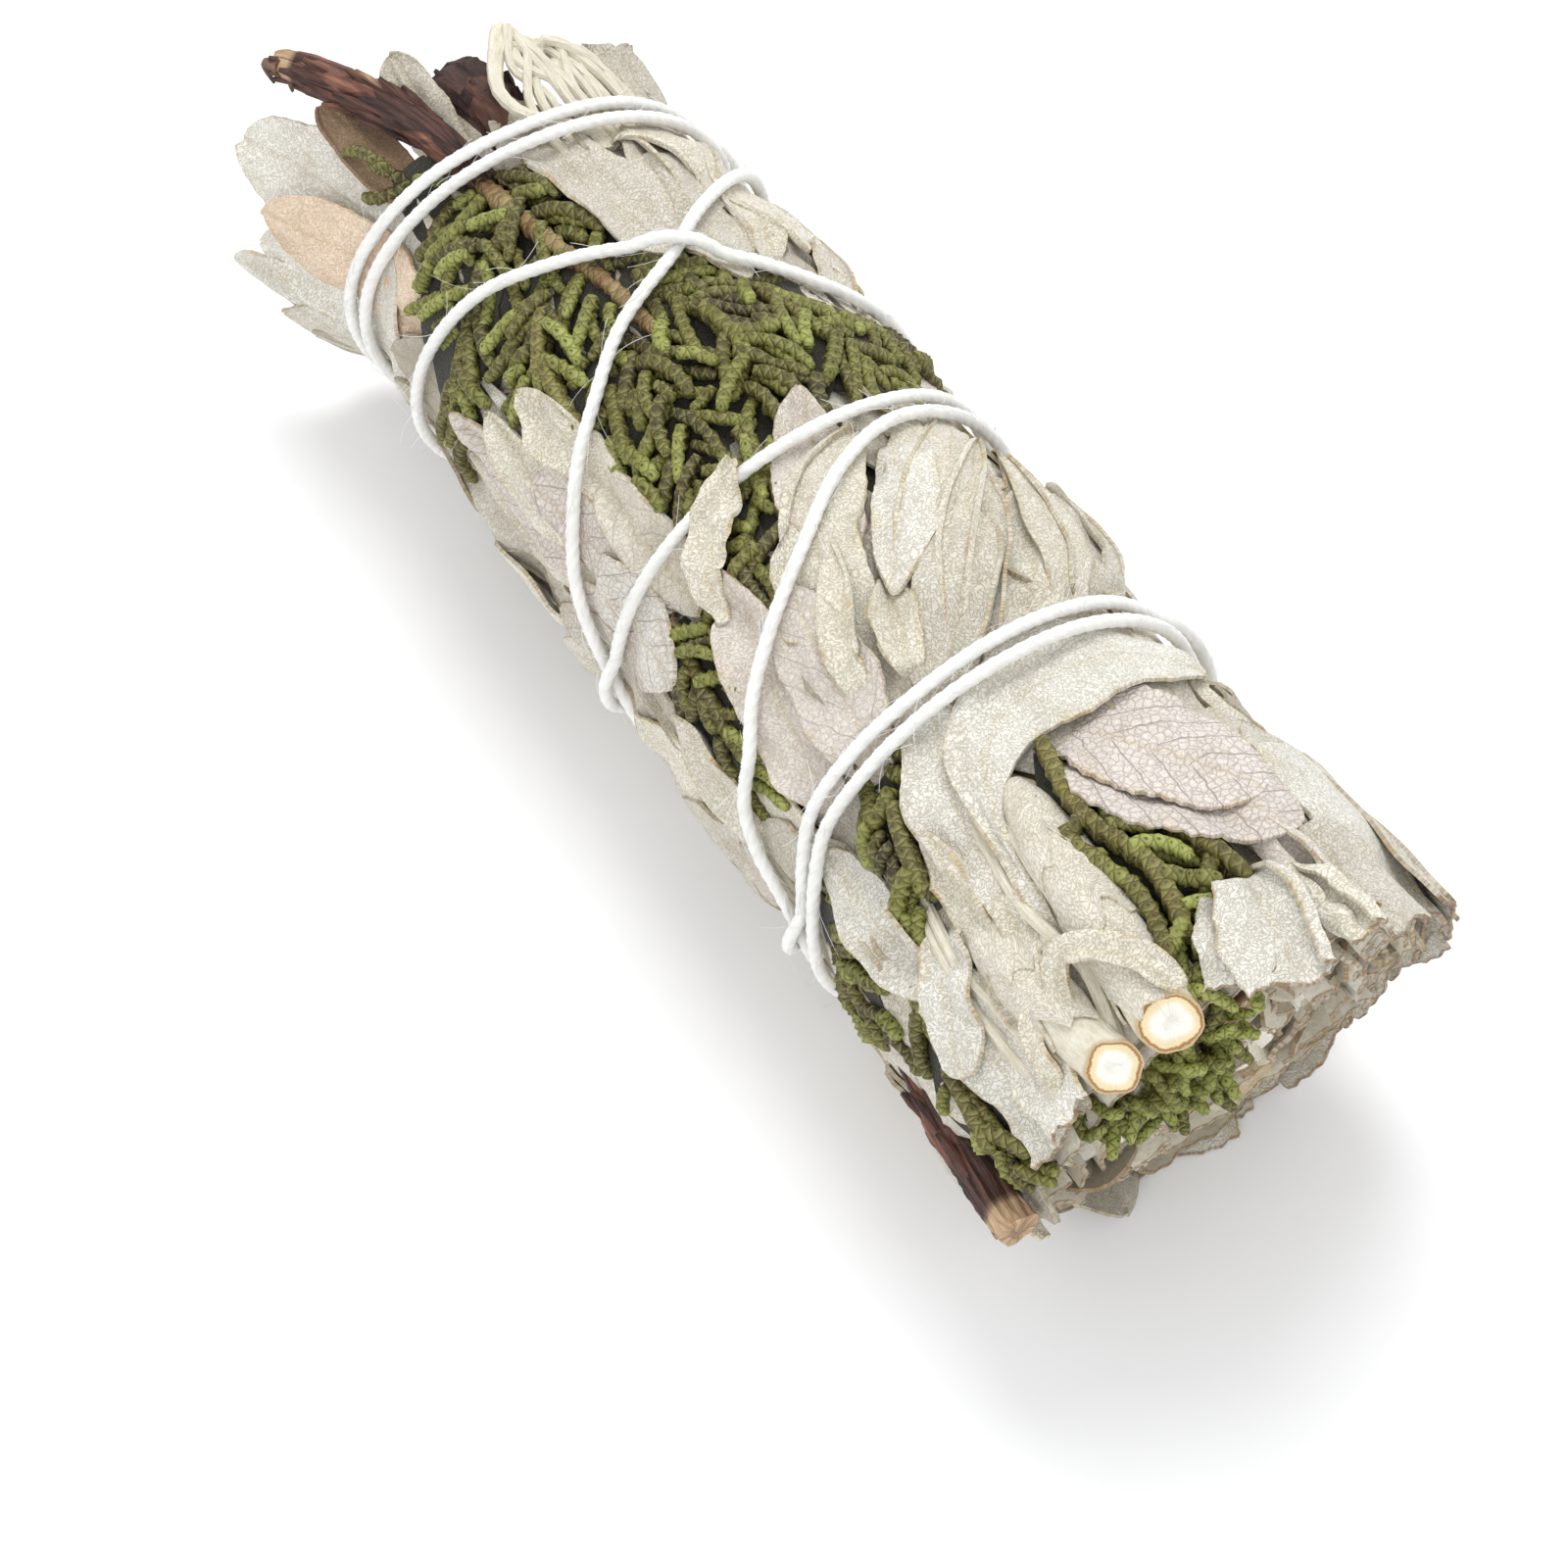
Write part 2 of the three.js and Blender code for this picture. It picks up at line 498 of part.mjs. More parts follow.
// A mesh of a solid, in its colour.
function meshOf(name, solid, color, roughness) {
  const { numVert, numProp, vertProperties, triVerts } = solid.getMesh();
  const positions = new Float32Array(numVert * 3);
  for (let i = 0; i < numVert; i++) positions.set(vertProperties.subarray(i * numProp, i * numProp + 3), i * 3);
  const geometry = new THREE.BufferGeometry();
  geometry.setAttribute("position", new THREE.BufferAttribute(positions, 3));
  geometry.setIndex(new THREE.BufferAttribute(triVerts, 1));
  geometry.computeVertexNormals();
  const mesh = new THREE.Mesh(geometry, new THREE.MeshStandardMaterial({ color, roughness, metalness: 0 }));
  mesh.name = name;
  return mesh;
}

const bundle = new THREE.Group();
bundle.add(meshOf("sage_leaves", sage, 0xcdc8bb, 0.95));
stems.forEach((solid, i) => bundle.add(meshOf(`sage_stem_${i + 1}`, solid, 0xe3d8bd, 0.9)));
twigs.forEach((solid, i) => bundle.add(meshOf(`juniper_twig_${i + 1}`, solid, 0x4d2f26, 0.85)));
sprayNodes.forEach(([name, solid]) => bundle.add(meshOf(name, solid, 0x6b7336, 0.8)));
bundle.add(meshOf("cotton_twine", twine, 0xf4f3ef, 0.9));

export default bundle;
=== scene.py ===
import math
import random

import bpy
import numpy as np
from mathutils import Matrix, Vector


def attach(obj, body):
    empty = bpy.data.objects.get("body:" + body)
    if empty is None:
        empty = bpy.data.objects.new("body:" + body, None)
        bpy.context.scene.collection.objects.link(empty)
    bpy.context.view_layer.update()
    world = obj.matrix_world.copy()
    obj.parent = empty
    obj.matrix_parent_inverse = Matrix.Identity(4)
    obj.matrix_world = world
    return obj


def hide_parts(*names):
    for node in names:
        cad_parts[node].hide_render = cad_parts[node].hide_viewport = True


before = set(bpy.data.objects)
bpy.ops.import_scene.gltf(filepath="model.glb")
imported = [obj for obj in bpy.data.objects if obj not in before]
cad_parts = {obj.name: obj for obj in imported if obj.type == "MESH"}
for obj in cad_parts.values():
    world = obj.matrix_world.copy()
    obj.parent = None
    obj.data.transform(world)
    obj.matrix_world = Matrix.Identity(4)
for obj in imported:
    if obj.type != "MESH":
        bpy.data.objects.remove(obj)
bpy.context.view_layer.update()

mm = 0.001

# The bundle: a packed core along X, and everything else laid on it at x, an angle around the axis
# (0 on top, 90 at -Y) and a height above the core. All in millimetres.
bundle = {
    "axisHeight": 21,
    "farEnd": -57,
    "cutEnd": 60,
    "farRadius": 17.4,
    "cutRadius": 20.6,
    "unrollRadius": 21.8,
    "waists": [(-51, 1, 6), (-4.5, 0.6, 4), (26, 0.8, 5)],
}
fullTurn = 2 * math.pi * bundle["unrollRadius"]


def arcOf(around):
    return np.radians(around) * bundle["unrollRadius"]


def rise(value, low, high):
    t = np.clip((value - low) / (high - low), 0, 1)
    return t * t * (3 - 2 * t)


def coreRadius(x):
    x = np.asarray(x, float)
    along = np.clip((x - bundle["farEnd"]) / (bundle["cutEnd"] - bundle["farEnd"]), 0, 1)
    radius = bundle["farRadius"] + (bundle["cutRadius"] - bundle["farRadius"]) * along
    for at, depth, width in bundle["waists"]:
        radius = radius - depth * np.exp(-(((x - at) / width) ** 2))
    return radius


def onBundle(x, arc, height, lowest=0.2):
    out = coreRadius(x) + height
    turn = np.asarray(arc) / bundle["unrollRadius"]
    z = bundle["axisHeight"] + out * np.cos(turn)
    z = lowest + 0.8 * np.logaddexp(0, (z - lowest) / 0.8)  # pressed flat where it lies on the table
    return np.stack([x, -out * np.sin(turn), z], axis=-1) * mm


def pathThrough(points, steps):  # a smooth path through (x, around, height) points, as equal steps
    given = np.array([[p[0], arcOf(p[1]), p[2] if len(p) > 2 else 0] for p in points], float)
    if len(given) == 2:
        given = np.array([given[0], given.mean(axis=0), given[1]])
    knots = np.vstack([2 * given[0] - given[1], given, 2 * given[-1] - given[-2]])
    fine = []
    for i in range(1, len(knots) - 2):
        a, b, c, d = knots[i - 1 : i + 3]
        ab, bc, cd = (max(math.sqrt(np.linalg.norm(q - p)), 1e-4) for p, q in ((a, b), (b, c), (c, d)))
        leave = ((b - a) / ab - (c - a) / (ab + bc) + (c - b) / bc) * bc
        reach = ((c - b) / bc - (d - b) / (bc + cd) + (d - c) / cd) * bc
        t = np.linspace(0, 1, 25)[:-1, None]
        fine.append(b + leave * t + (3 * (c - b) - 2 * leave - reach) * t**2 + (2 * (b - c) + leave + reach) * t**3)
    fine = np.vstack(fine + [given[-1:]])
    run = np.concatenate([[0], np.cumsum(np.linalg.norm(np.diff(fine, axis=0), axis=1))])
    even = np.linspace(0, run[-1], steps + 1)
    return np.stack([np.interp(even, run, fine[:, k]) for k in range(3)], axis=1)


def pathLength(points):
    given = np.array([[p[0], arcOf(p[1])] for p in points], float)
    return float(np.linalg.norm(np.diff(given, axis=0), axis=1).sum())


# Maps over the unrolled surface, one value to each half millimetre.
chart = {"start": -84.0, "cells": 320, "round": 274}
chartArc = fullTurn / chart["round"]


def cellOf(x, arc):
    return (np.asarray(x) - chart["start"]) * 2, np.asarray(arc) / chartArc


def readMap(field, x, arc):
    i, j = cellOf(x, arc)
    i = np.clip(i, 0, chart["cells"] - 1.001)
    i0, j0 = np.floor(i).astype(int), np.floor(j).astype(int)
    fi, fj = i - i0, j - j0
    n = chart["round"]
    low = field[i0, j0 % n] * (1 - fj) + field[i0, (j0 + 1) % n] * fj
    high = field[i0 + 1, j0 % n] * (1 - fj) + field[i0 + 1, (j0 + 1) % n] * fj
    return low * (1 - fi) + high * fi


def raiseMap(field, x, arc, value):
    i, j = cellOf(x, arc)
    i = np.clip(np.round(i).astype(int), 0, chart["cells"] - 1)
    j = np.round(j).astype(int) % chart["round"]
    np.maximum.at(field, (i, j), value)


def emptyMap(value=0.0):
    return np.full((chart["cells"], chart["round"]), value)


print("stage: the twine's route")
# One length of twine, wound eight times round the bundle and knotted on the side that isn't seen. Angles 360
# apart lie in one place, and the start of the route lies topmost.
twine = {
    "sides": 12,
    "route": [
        (32.5, -115), (29.5, -90), (26, -65), (24.4, -40), (24.2, -20), (24.2, 0), (24.3, 20), (24.2, 40), (24.6, 60),
        (26.2, 72), (27.8, 84), (27.4, 100), (23, 125), (15, 160), (10, 185), (5, 210), (-2.5, 260), (-5, 300),
        (-4.6, 340), (-4.5, 360), (-4.6, 400), (-4.6, 420), (-4.6, 440), (-5, 465), (-8, 520), (-13, 580),
        (-16.5, 640), (-18, 660), (-21, 682), (-26, 701), (-31.5, 721), (-36, 743), (-39.5, 762), (-41.5, 785),
        (-42.5, 810), (-43.5, 860), (-43.5, 930), (-47, 980), (-50, 1010), (-51.3, 1045), (-52, 1080), (-54.5, 1120),
        (-56.5, 1160), (-56.5, 1190), (-55, 1250), (-50.5, 1310), (-48.4, 1350), (-48.8, 1405), (-49.8, 1440),
        (-52.2, 1480), (-54, 1520), (-53.5, 1560), (-50, 1620), (-44, 1690), (-41, 1740), (-33.5, 1780),
        (-29.2, 1796), (-25, 1820), (-21, 1836), (-18, 1850), (-15, 1862), (-12, 1875), (-8, 1888), (-3.5, 1905),
        (3, 1945), (5.5, 1965), (5, 1990), (2.5, 2030), (0, 2070), (-2.2, 2110), (-2, 2139), (1, 2160), (6, 2180),
        (10.5, 2200), (13.2, 2212), (16, 2222), (18, 2235), (21, 2244), (25, 2253), (28, 2264), (28.8, 2290),
        (28.8, 2340), (28.3, 2400), (27.4, 2450), (26.5, 2495), (26.4, 2520), (26.3, 2540), (26.4, 2560),
        (26.8, 2580), (28.4, 2592), (30, 2604), (30.8, 2620), (31, 2650), (31.5, 2700), (32.5, 2765),
    ],
    "radius": 0.7,
    "height": 3.3,
    "step": 0.35,
    "pliesPitch": 4.2,
    "lobe": 0.055,
}
windLength = pathLength(twine["route"])
twineTrack = pathThrough(twine["route"], int(windLength / twine["step"]))


def nearTwineMap():  # distance from the twine's middle line, up to 9 mm
    field = emptyMap(9.0)
    reach = 18
    for x, arc, _ in twineTrack[::3]:
        ci, cj = cellOf(x, arc)
        i = np.arange(int(ci) - reach, int(ci) + reach + 1)
        i = i[(i >= 0) & (i < chart["cells"])]
        j = np.arange(int(cj) - reach, int(cj) + reach + 1)
        away = np.hypot((i - ci)[:, None] * 0.5, (j - cj)[None, :] * chartArc)
        at = np.ix_(i, j % chart["round"])
        field[at] = np.minimum(field[at], away)
    return field


nearTwine = nearTwineMap()
chartX = (chart["start"] + np.arange(chart["cells"]) / 2)[:, None]
chartTurn = (np.arange(chart["round"]) * 360.0 / chart["round"])[None, :]
# how high a leaf can stand: low under the twine, higher away from it, and splayed out past the last turns
ceiling = 2.45 + 2.0 * rise(nearTwine, 1.0, 6.5) + 5.0 * rise(-chartX, 55, 70) + 0.8 * rise(chartX, 50, 62)
ceiling = ceiling + 0.4 * rise(chartX, 52, 58) * (rise(chartTurn, 318, 328) + 1 - rise(chartTurn, 10, 20))


def pressed(height, x, arc):
    limit = readMap(ceiling, x, arc)
    return np.where(height > 0, height / (1 + (np.maximum(height, 0) / limit) ** 5) ** 0.2, height)


def twineHumps():  # each strand is humped over those that it crosses further along
    count = len(twineTrack)
    humps = np.zeros(count)
    across = 2 * twine["radius"] + 0.05
    x, arc = twineTrack[:, 0], twineTrack[:, 1]
    skip = int(9 / twine["step"])
    spread = int(5.5 / twine["step"])
    window = np.exp(-((np.arange(-spread, spread + 1) * twine["step"] / 2.7) ** 4))
    for i in range(count - 1, -1, -1):
        j = np.arange(i + skip, count)
        if not len(j):
            continue
        gapArc = arc[j] - arc[i]
        away = np.hypot(x[j] - x[i], gapArc - fullTurn * np.round(gapArc / fullTurn))
        under = away < across
        if under.any():
            top = (humps[j[under]] + np.sqrt(np.maximum(across**2 - away[under] ** 2, 0)) * 1.02).max()
            span = np.arange(max(0, i - spread), min(count, i + spread + 1))
            humps[span] = np.maximum(humps[span], top * window[span - i + spread])
    return humps


humps = twineHumps()


def sumOf(operation, swapped=False):
    def written(self, other=None):
        values = (other, self) if swapped else (self, other)
        return self.finish.node("ShaderNodeMath", {"operation": operation}, *[v for v in values if v is not None])

    return written


class Wire:  # a socket that sums and products can be written with
    def __init__(self, finish, socket):
        self.finish, self.socket = finish, socket

    __add__, __sub__, __mul__ = sumOf("ADD"), sumOf("SUBTRACT"), sumOf("MULTIPLY")
    __radd__, __rsub__ = sumOf("ADD", swapped=True), sumOf("SUBTRACT", swapped=True)
    __truediv__, __pow__ = sumOf("DIVIDE"), sumOf("POWER")
    size, part = sumOf("ABSOLUTE"), sumOf("FRACT")
    most, least = sumOf("MAXIMUM"), sumOf("MINIMUM")


class Finish:  # a material while it is being put together
    def __init__(self, name, roughness=0.9, **constants):
        self.material = bpy.data.materials.new(name)
        self.material.use_nodes = True
        self.tree = self.material.node_tree
        self.shader = self.tree.nodes["Principled BSDF"]
        self.shader.inputs["Roughness"].default_value = roughness
        for socket, value in constants.items():
            self.shader.inputs[socket.replace("_", " ")].default_value = value

    def connect(self, socket, value):
        if isinstance(value, Wire):
            self.tree.links.new(value.socket, socket)
        else:
            socket.default_value = (*value, 1) if socket.type == "RGBA" else value

    def node(self, kind, settings, *values, out=0, **sockets):
        made = self.tree.nodes.new(kind)
        for setting, value in settings.items():
            setattr(made, setting, value)
        for socket, value in zip(made.inputs, values):
            self.connect(socket, value)
        for name, value in sockets.items():
            self.connect(made.inputs[name], value)
        return Wire(self, made.outputs[out])

    def blend(self, factor, first, second, how="MIX"):  # colours
        settings = {"data_type": "RGBA", "blend_type": how, "clamp_factor": True}
        made = self.node("ShaderNodeMix", settings, factor).socket.node
        for socket, value in zip([s for s in made.inputs if s.type == "RGBA"], (first, second)):
            self.connect(socket, value)
        return Wire(self, next(s for s in made.outputs if s.type == "RGBA"))

    def ramp(self, value, *stops):
        wire = self.node("ShaderNodeValToRGB", {}, value)
        elements = wire.socket.node.color_ramp.elements
        while len(elements) < len(stops):
            elements.new(0.5)
        for element, (position, color) in zip(elements, stops):
            element.position, element.color = position, (*color, 1)
        return wire

    def rise(self, value, low, high):  # 0 below low, 1 above high
        return self.node("ShaderNodeMapRange", {"interpolation_type": "SMOOTHSTEP"}, value, low, high, 0.0, 1.0)

    def flat(self, name):  # a map in millimetres
        return self.node("ShaderNodeUVMap", {"uv_map": name})

    def place(self):
        return self.node("ShaderNodeTexCoord", {}, out=3)

    def stretched(self, place, scale):
        return self.node("ShaderNodeMapping", {}, place, Scale=scale)

    def noise(self, place, scale, **sockets):
        return self.node("ShaderNodeTexNoise", {}, Vector=place, Scale=scale, **sockets)

    def cells(self, place, scale, feature="DISTANCE_TO_EDGE", **sockets):
        return self.node("ShaderNodeTexVoronoi", {"feature": feature}, Vector=place, Scale=scale, **sockets)

    def parts(self, wire):
        made = self.node("ShaderNodeSeparateXYZ", {}, wire).socket.node
        return [Wire(self, out) for out in made.outputs]

    def attribute(self, name, out="Fac"):
        return self.node("ShaderNodeAttribute", {"attribute_name": name}, out=out)

    def done(self, color, relief, strength, distance):
        self.connect(self.shader.inputs["Base Color"], color)
        bump = self.node("ShaderNodeBump", {}, Height=relief, Strength=strength, Distance=distance)
        self.connect(self.shader.inputs["Normal"], bump)
        return self.material


def tone(red, green, blue):  # a colour as it is seen on a screen, 0 to 255
    return tuple(c / 255 / 12.92 if c <= 10 else ((c / 255 + 0.055) / 1.055) ** 2.4 for c in (red, green, blue))


sideVeinPitch = 3.6
scaleLength = 1.15
leafTones = {
    "silver": tone(219, 214, 201),
    "cream": tone(230, 225, 210),
    "pale": tone(233, 230, 221),
    "rose": tone(231, 223, 214),
    "blush": tone(236, 228, 221),
    "peach": tone(236, 213, 188),
    "straw": tone(222, 211, 184),
    "stone": tone(205, 199, 184),
    "shade": tone(190, 183, 166),
    "dried": tone(150, 122, 92),
    # a near-black tone for the sheets under the sprays: painted shade
    "paintedShade": tone(38, 35, 17),
}


def sageLeafFinish():
    f = Finish("sage leaf felt", roughness=0.92, Sheen_Weight=0.2, Sheen_Roughness=0.6)
    uv = f.flat("leafMap")  # across and along the leaf
    warp = f.noise(uv, 0.5, Detail=2.0, out=1)
    bent = f.node("ShaderNodeVectorMath", {"operation": "ADD"}, uv,
                  f.node("ShaderNodeVectorMath", {"operation": "SCALE"}, warp, Scale=0.9))
    veined, rim = f.attribute("veined"), f.attribute("rim")
    # felt: soft pebbles with winding grooves between them
    felt = f.noise(bent, 2.8, Detail=2.0, Roughness=0.5)
    groove = 1 - f.rise((felt - 0.5).size(), 0.0, 0.07)
    # the net of veins on an underside
    net, fineNet = f.cells(bent, 1.45), f.cells(bent, 3.0)
    netLine, fineLine = 1 - f.rise(net, 0.0, 0.12), 1 - f.rise(fineNet, 0.0, 0.14)
    # side veins run forward from the midrib on both sides
    across, along, _ = f.parts(bent)
    sideways = across.size()
    stripe = ((along - sideways * 1.25) / sideVeinPitch).part()
    sideVein = (1 - f.rise((stripe - 0.5).size(), 0.0, 0.05)) * f.rise(sideways, 0.15, 0.6)
    midrib = 1 - f.rise(sideways, 0.1, 0.45)
    # each leaf has its own tone, mottled, with stained folds, veins and rim
    broad = f.noise(uv, 0.17, Detail=4.0, Roughness=0.62)
    stain = f.noise(uv, 0.24, Detail=4.0, Roughness=0.65)
    color = f.blend(f.rise(broad, 0.38, 0.7) * 0.4, f.attribute("leafTone", "Color"), tone(220, 214, 200), "MULTIPLY")
    color = f.blend(groove * (1 - veined * 0.7) * 0.66, color, tone(202, 194, 175), "MULTIPLY")
    # paler tops of the felt's pebbles: the pale hairs with a painted highlight
    color = f.blend(f.rise(felt, 0.55, 0.7) * (1 - veined) * 0.24, color, tone(246, 244, 236), "SOFT_LIGHT")
    stained = (f.rise(stain, 0.6, 0.74) * 0.34).most(f.rise(rim, 0.6, 1.0) * f.rise(stain, 0.5, 0.64) * 0.4)
    color = f.blend(stained, color, tone(242, 228, 192), "MULTIPLY")
    color = f.blend(midrib * (0.24 + veined * 0.16), color, tone(228, 214, 178), "MULTIPLY")
    veins = (netLine * 0.64).most(fineLine * 0.24).most(sideVein * 0.9) * veined
    color = f.blend(veins, color, tone(161, 143, 132))
    browned = f.rise(rim, 0.94, 1.0) * (0.24 + f.rise(stain, 0.42, 0.6) * 0.4)
    color = f.blend(browned, color, tone(220, 200, 158), "MULTIPLY")
    specks = f.cells(uv, 0.42, "F1", Randomness=1.0)
    color = f.blend((1 - f.rise(specks, 0.03, 0.06)) * f.rise(stain, 0.5, 0.56) * 0.8, color, tone(86, 66, 46))
    cutThrough = f.rise(f.attribute("cutRim"), 0.55, 1.0)
    color = f.blend(cutThrough * (0.5 + f.rise(felt, 0.42, 0.6) * 0.45), color, tone(132, 102, 64))
    netRelief = net.least(0.22) * 3.0 + fineNet.least(0.2) * 1.2 - sideVein * 0.7
    relief = (felt * 1.3 - groove * 0.35) * (1 - veined * 0.5) + netRelief * veined - midrib * 0.4
    return f.done(color, relief, 0.78, 0.00024)


def cutEdgeFinish():  # the same leaves where they were cut through, tan and fibrous on the cut
    f = Finish("cut sage leaf edges", roughness=0.95)
    grain = f.noise(f.flat("leafMap"), 1.9, Detail=4.0, Roughness=0.6)
    color = f.blend(f.rise(grain, 0.35, 0.7) * 0.4, f.attribute("leafTone", "Color"), tone(214, 205, 182), "MULTIPLY")
    rim = f.rise(f.attribute("rim"), 0.97, 0.999)
    color = f.blend(rim * (0.55 + f.rise(grain, 0.42, 0.6) * 0.35), color, tone(140, 112, 72))
    return f.done(color, grain, 0.6, 0.00025)


def innerLeafFinish():
    f = Finish("packed inner leaves in painted shade", roughness=1.0)
    crumple = f.noise(f.place(), 260.0, Detail=5.0, Roughness=0.65)
    # dark browns: painted shade deep inside the packed bundle, seen through the gaps between leaves
    color = f.ramp(crumple, (0.3, tone(48, 42, 30)), (0.55, tone(92, 84, 64)), (0.75, tone(132, 122, 98)))
    return f.done(color, crumple, 1.0, 0.001)


def juniperFinish():
    f = Finish("juniper scale leaves", roughness=0.6)
    turn, along, _ = f.parts(f.flat("sprigMap"))  # four columns of scales around, millimetres along
    place = f.place()
    sway = f.noise(place, 700.0, Detail=1.0)
    row = along / scaleLength + (sway - 0.5) * 0.7
    right = (row + turn / 2).part()  # each scale is a lozenge: both run from 0 at its base to 1 at its tip
    left = (row - turn / 2).part()
    low, high = right.least(left), right.most(left)
    under = 1 - f.rise(low, 0.0, 0.26)  # in the shade of the scale before
    tip = f.rise(high, 0.66, 0.98) * (1 - under)
    across, up = right - left, right + left - 1.0
    gland = 1 - f.rise((across * across * 3.0 + (up + 0.1) * (up + 0.1) * 0.9) ** 0.5, 0.1, 0.34)
    patch = f.noise(place, 150.0, Detail=3.0, Roughness=0.6)
    powder = f.noise(place, 2600.0, Detail=2.0)
    woody = f.attribute("woody")
    # the sprig's tone value: its own green, with painted shade on the lower layer
    color = f.ramp(patch * 1.1 + f.attribute("livelyAndShade") - 0.55, (0.1, tone(54, 45, 25)), (0.3, tone(78, 72, 33)),
                   (0.5, tone(97, 94, 39)), (0.72, tone(114, 116, 50)), (0.98, tone(154, 161, 81)))
    wood = f.ramp(patch, (0.36, tone(88, 48, 38)), (0.46, tone(128, 92, 62)), (0.58, tone(158, 136, 96)),
                  (0.68, tone(112, 104, 58)))
    color = f.blend(woody * 0.9, color, wood)
    color = f.blend(f.rise(powder, 0.5, 0.72) * 0.2, color, tone(150, 154, 86))
    color = f.blend(tip * 0.34, color, tone(172, 170, 100))
    color = f.blend(under * (0.24 + f.rise(patch, 0.4, 0.6) * 0.26), color, tone(50, 44, 18))
    color = f.blend(gland * (0.35 + f.rise(patch, 0.38, 0.52) * 0.45) * (1 - woody), color, tone(40, 41, 18))
    relief = up * 0.6 - across * across * 0.4 - under * 0.4 - gland * 0.4 + powder * 0.25
    return f.done(color, relief, 0.9, 0.00024)


def cottonFinish():
    f = Finish("cotton twine", roughness=0.95, Sheen_Weight=0.3, Sheen_Roughness=0.5)
    fibres = f.noise(f.stretched(f.flat("plyMap"), (2.2, 1.0, 1.0)), 2.6, Detail=4.0, Roughness=0.7)
    color = f.blend(f.rise(fibres, 0.35, 0.65), tone(249, 248, 243), tone(255, 255, 254))
    # darker in the grooves between the plies: painted shade
    color = f.blend(f.attribute("groove") * 0.22, color, tone(222, 218, 206))
    return f.done(color, fibres, 0.6, 0.00014)


def barkFinish():
    f = Finish("juniper bark", roughness=0.75)
    uv = f.flat("sprigMap")
    strips = f.noise(f.stretched(uv, (1.3, 0.16, 1.0)), 1.6, Detail=6.0, Roughness=0.6, Distortion=0.6)
    flaked = f.stretched(uv, (0.5, 0.13, 1.0))
    flakes = f.cells(flaked, 1.0)
    plate = f.parts(f.cells(flaked, 1.0, "F1", out=1))[0]  # one number for each plate of bark
    color = f.ramp(strips + (plate - 0.5) * 0.35, (0.25, tone(46, 31, 29)), (0.45, tone(84, 55, 48)),
                   (0.64, tone(118, 77, 62)), (0.9, tone(168, 120, 92)))
    color = f.blend((1 - f.rise(flakes, 0.0, 0.06)) * 0.5, color, tone(32, 20, 18))
    # darker on the twig that lies deep under the leaves: painted shade
    color = f.blend(f.attribute("deep"), color, tone(38, 28, 26))
    peeled = f.ramp(strips, (0.3, tone(172, 128, 92)), (0.7, tone(228, 200, 162)))
    color = f.blend(f.attribute("peeled"), color, peeled)
    return f.done(color, strips + f.rise(flakes, 0.0, 0.14) * 0.7 + plate * 0.5, 1.0, 0.0006)


def stemFinish():
    f = Finish("dry sage stem", roughness=0.88)
    uv = f.flat("sprigMap")
    grain = f.noise(f.stretched(uv, (1.6, 0.35, 1.0)), 1.3, Detail=5.0, Roughness=0.65)
    speckle = f.noise(uv, 2.6, Detail=3.0, Roughness=0.7)
    color = f.ramp(grain, (0.3, tone(198, 190, 168)), (0.5, tone(220, 214, 196)), (0.75, tone(236, 232, 220)))
    color = f.blend(f.rise(speckle, 0.52, 0.68) * 0.4, color, tone(204, 182, 138))
    # on a cut face "pith" runs from 0 at the middle to 1 at the rim
    wobble = f.attribute("pith") + (grain - 0.5) * 0.16 + (speckle - 0.5) * 0.1
    wood = f.blend(f.rise(wobble, 0.5, 0.74), tone(255, 253, 244), tone(243, 226, 184))
    wood = f.blend(f.rise(wobble, 0.8, 0.88), wood, tone(170, 122, 70))
    wood = f.blend(f.rise(wobble, 0.9, 0.96), wood, tone(206, 184, 146))
    old = f.ramp(grain, (0.35, tone(140, 112, 78)), (0.55, tone(190, 166, 126)), (0.7, tone(218, 202, 168)))
    wood = f.blend(f.attribute("aged") * 0.85, wood, old)
    return f.done(f.blend(f.attribute("cutFace"), color, wood), grain + speckle * 0.5, 0.7, 0.0003)


print("stage: materials")
leafFelt, cutEdge, innerLeaf = sageLeafFinish(), cutEdgeFinish(), innerLeafFinish()
juniperScale, cotton, bark, dryStem = juniperFinish(), cottonFinish(), barkFinish(), stemFinish()

studio = {
    "floorTone": tone(248, 248, 249),
    "sky": 0.82,
    "exposure": 0.15,
    "keyPower": 3.4,
    "fillPower": 1.7,
    "lookAt": (9.94, -12.16, 11.60),
    "azimuth": 56,
    "elevation": 58,
    "distance": 340,
    "lens": 81.1,
}


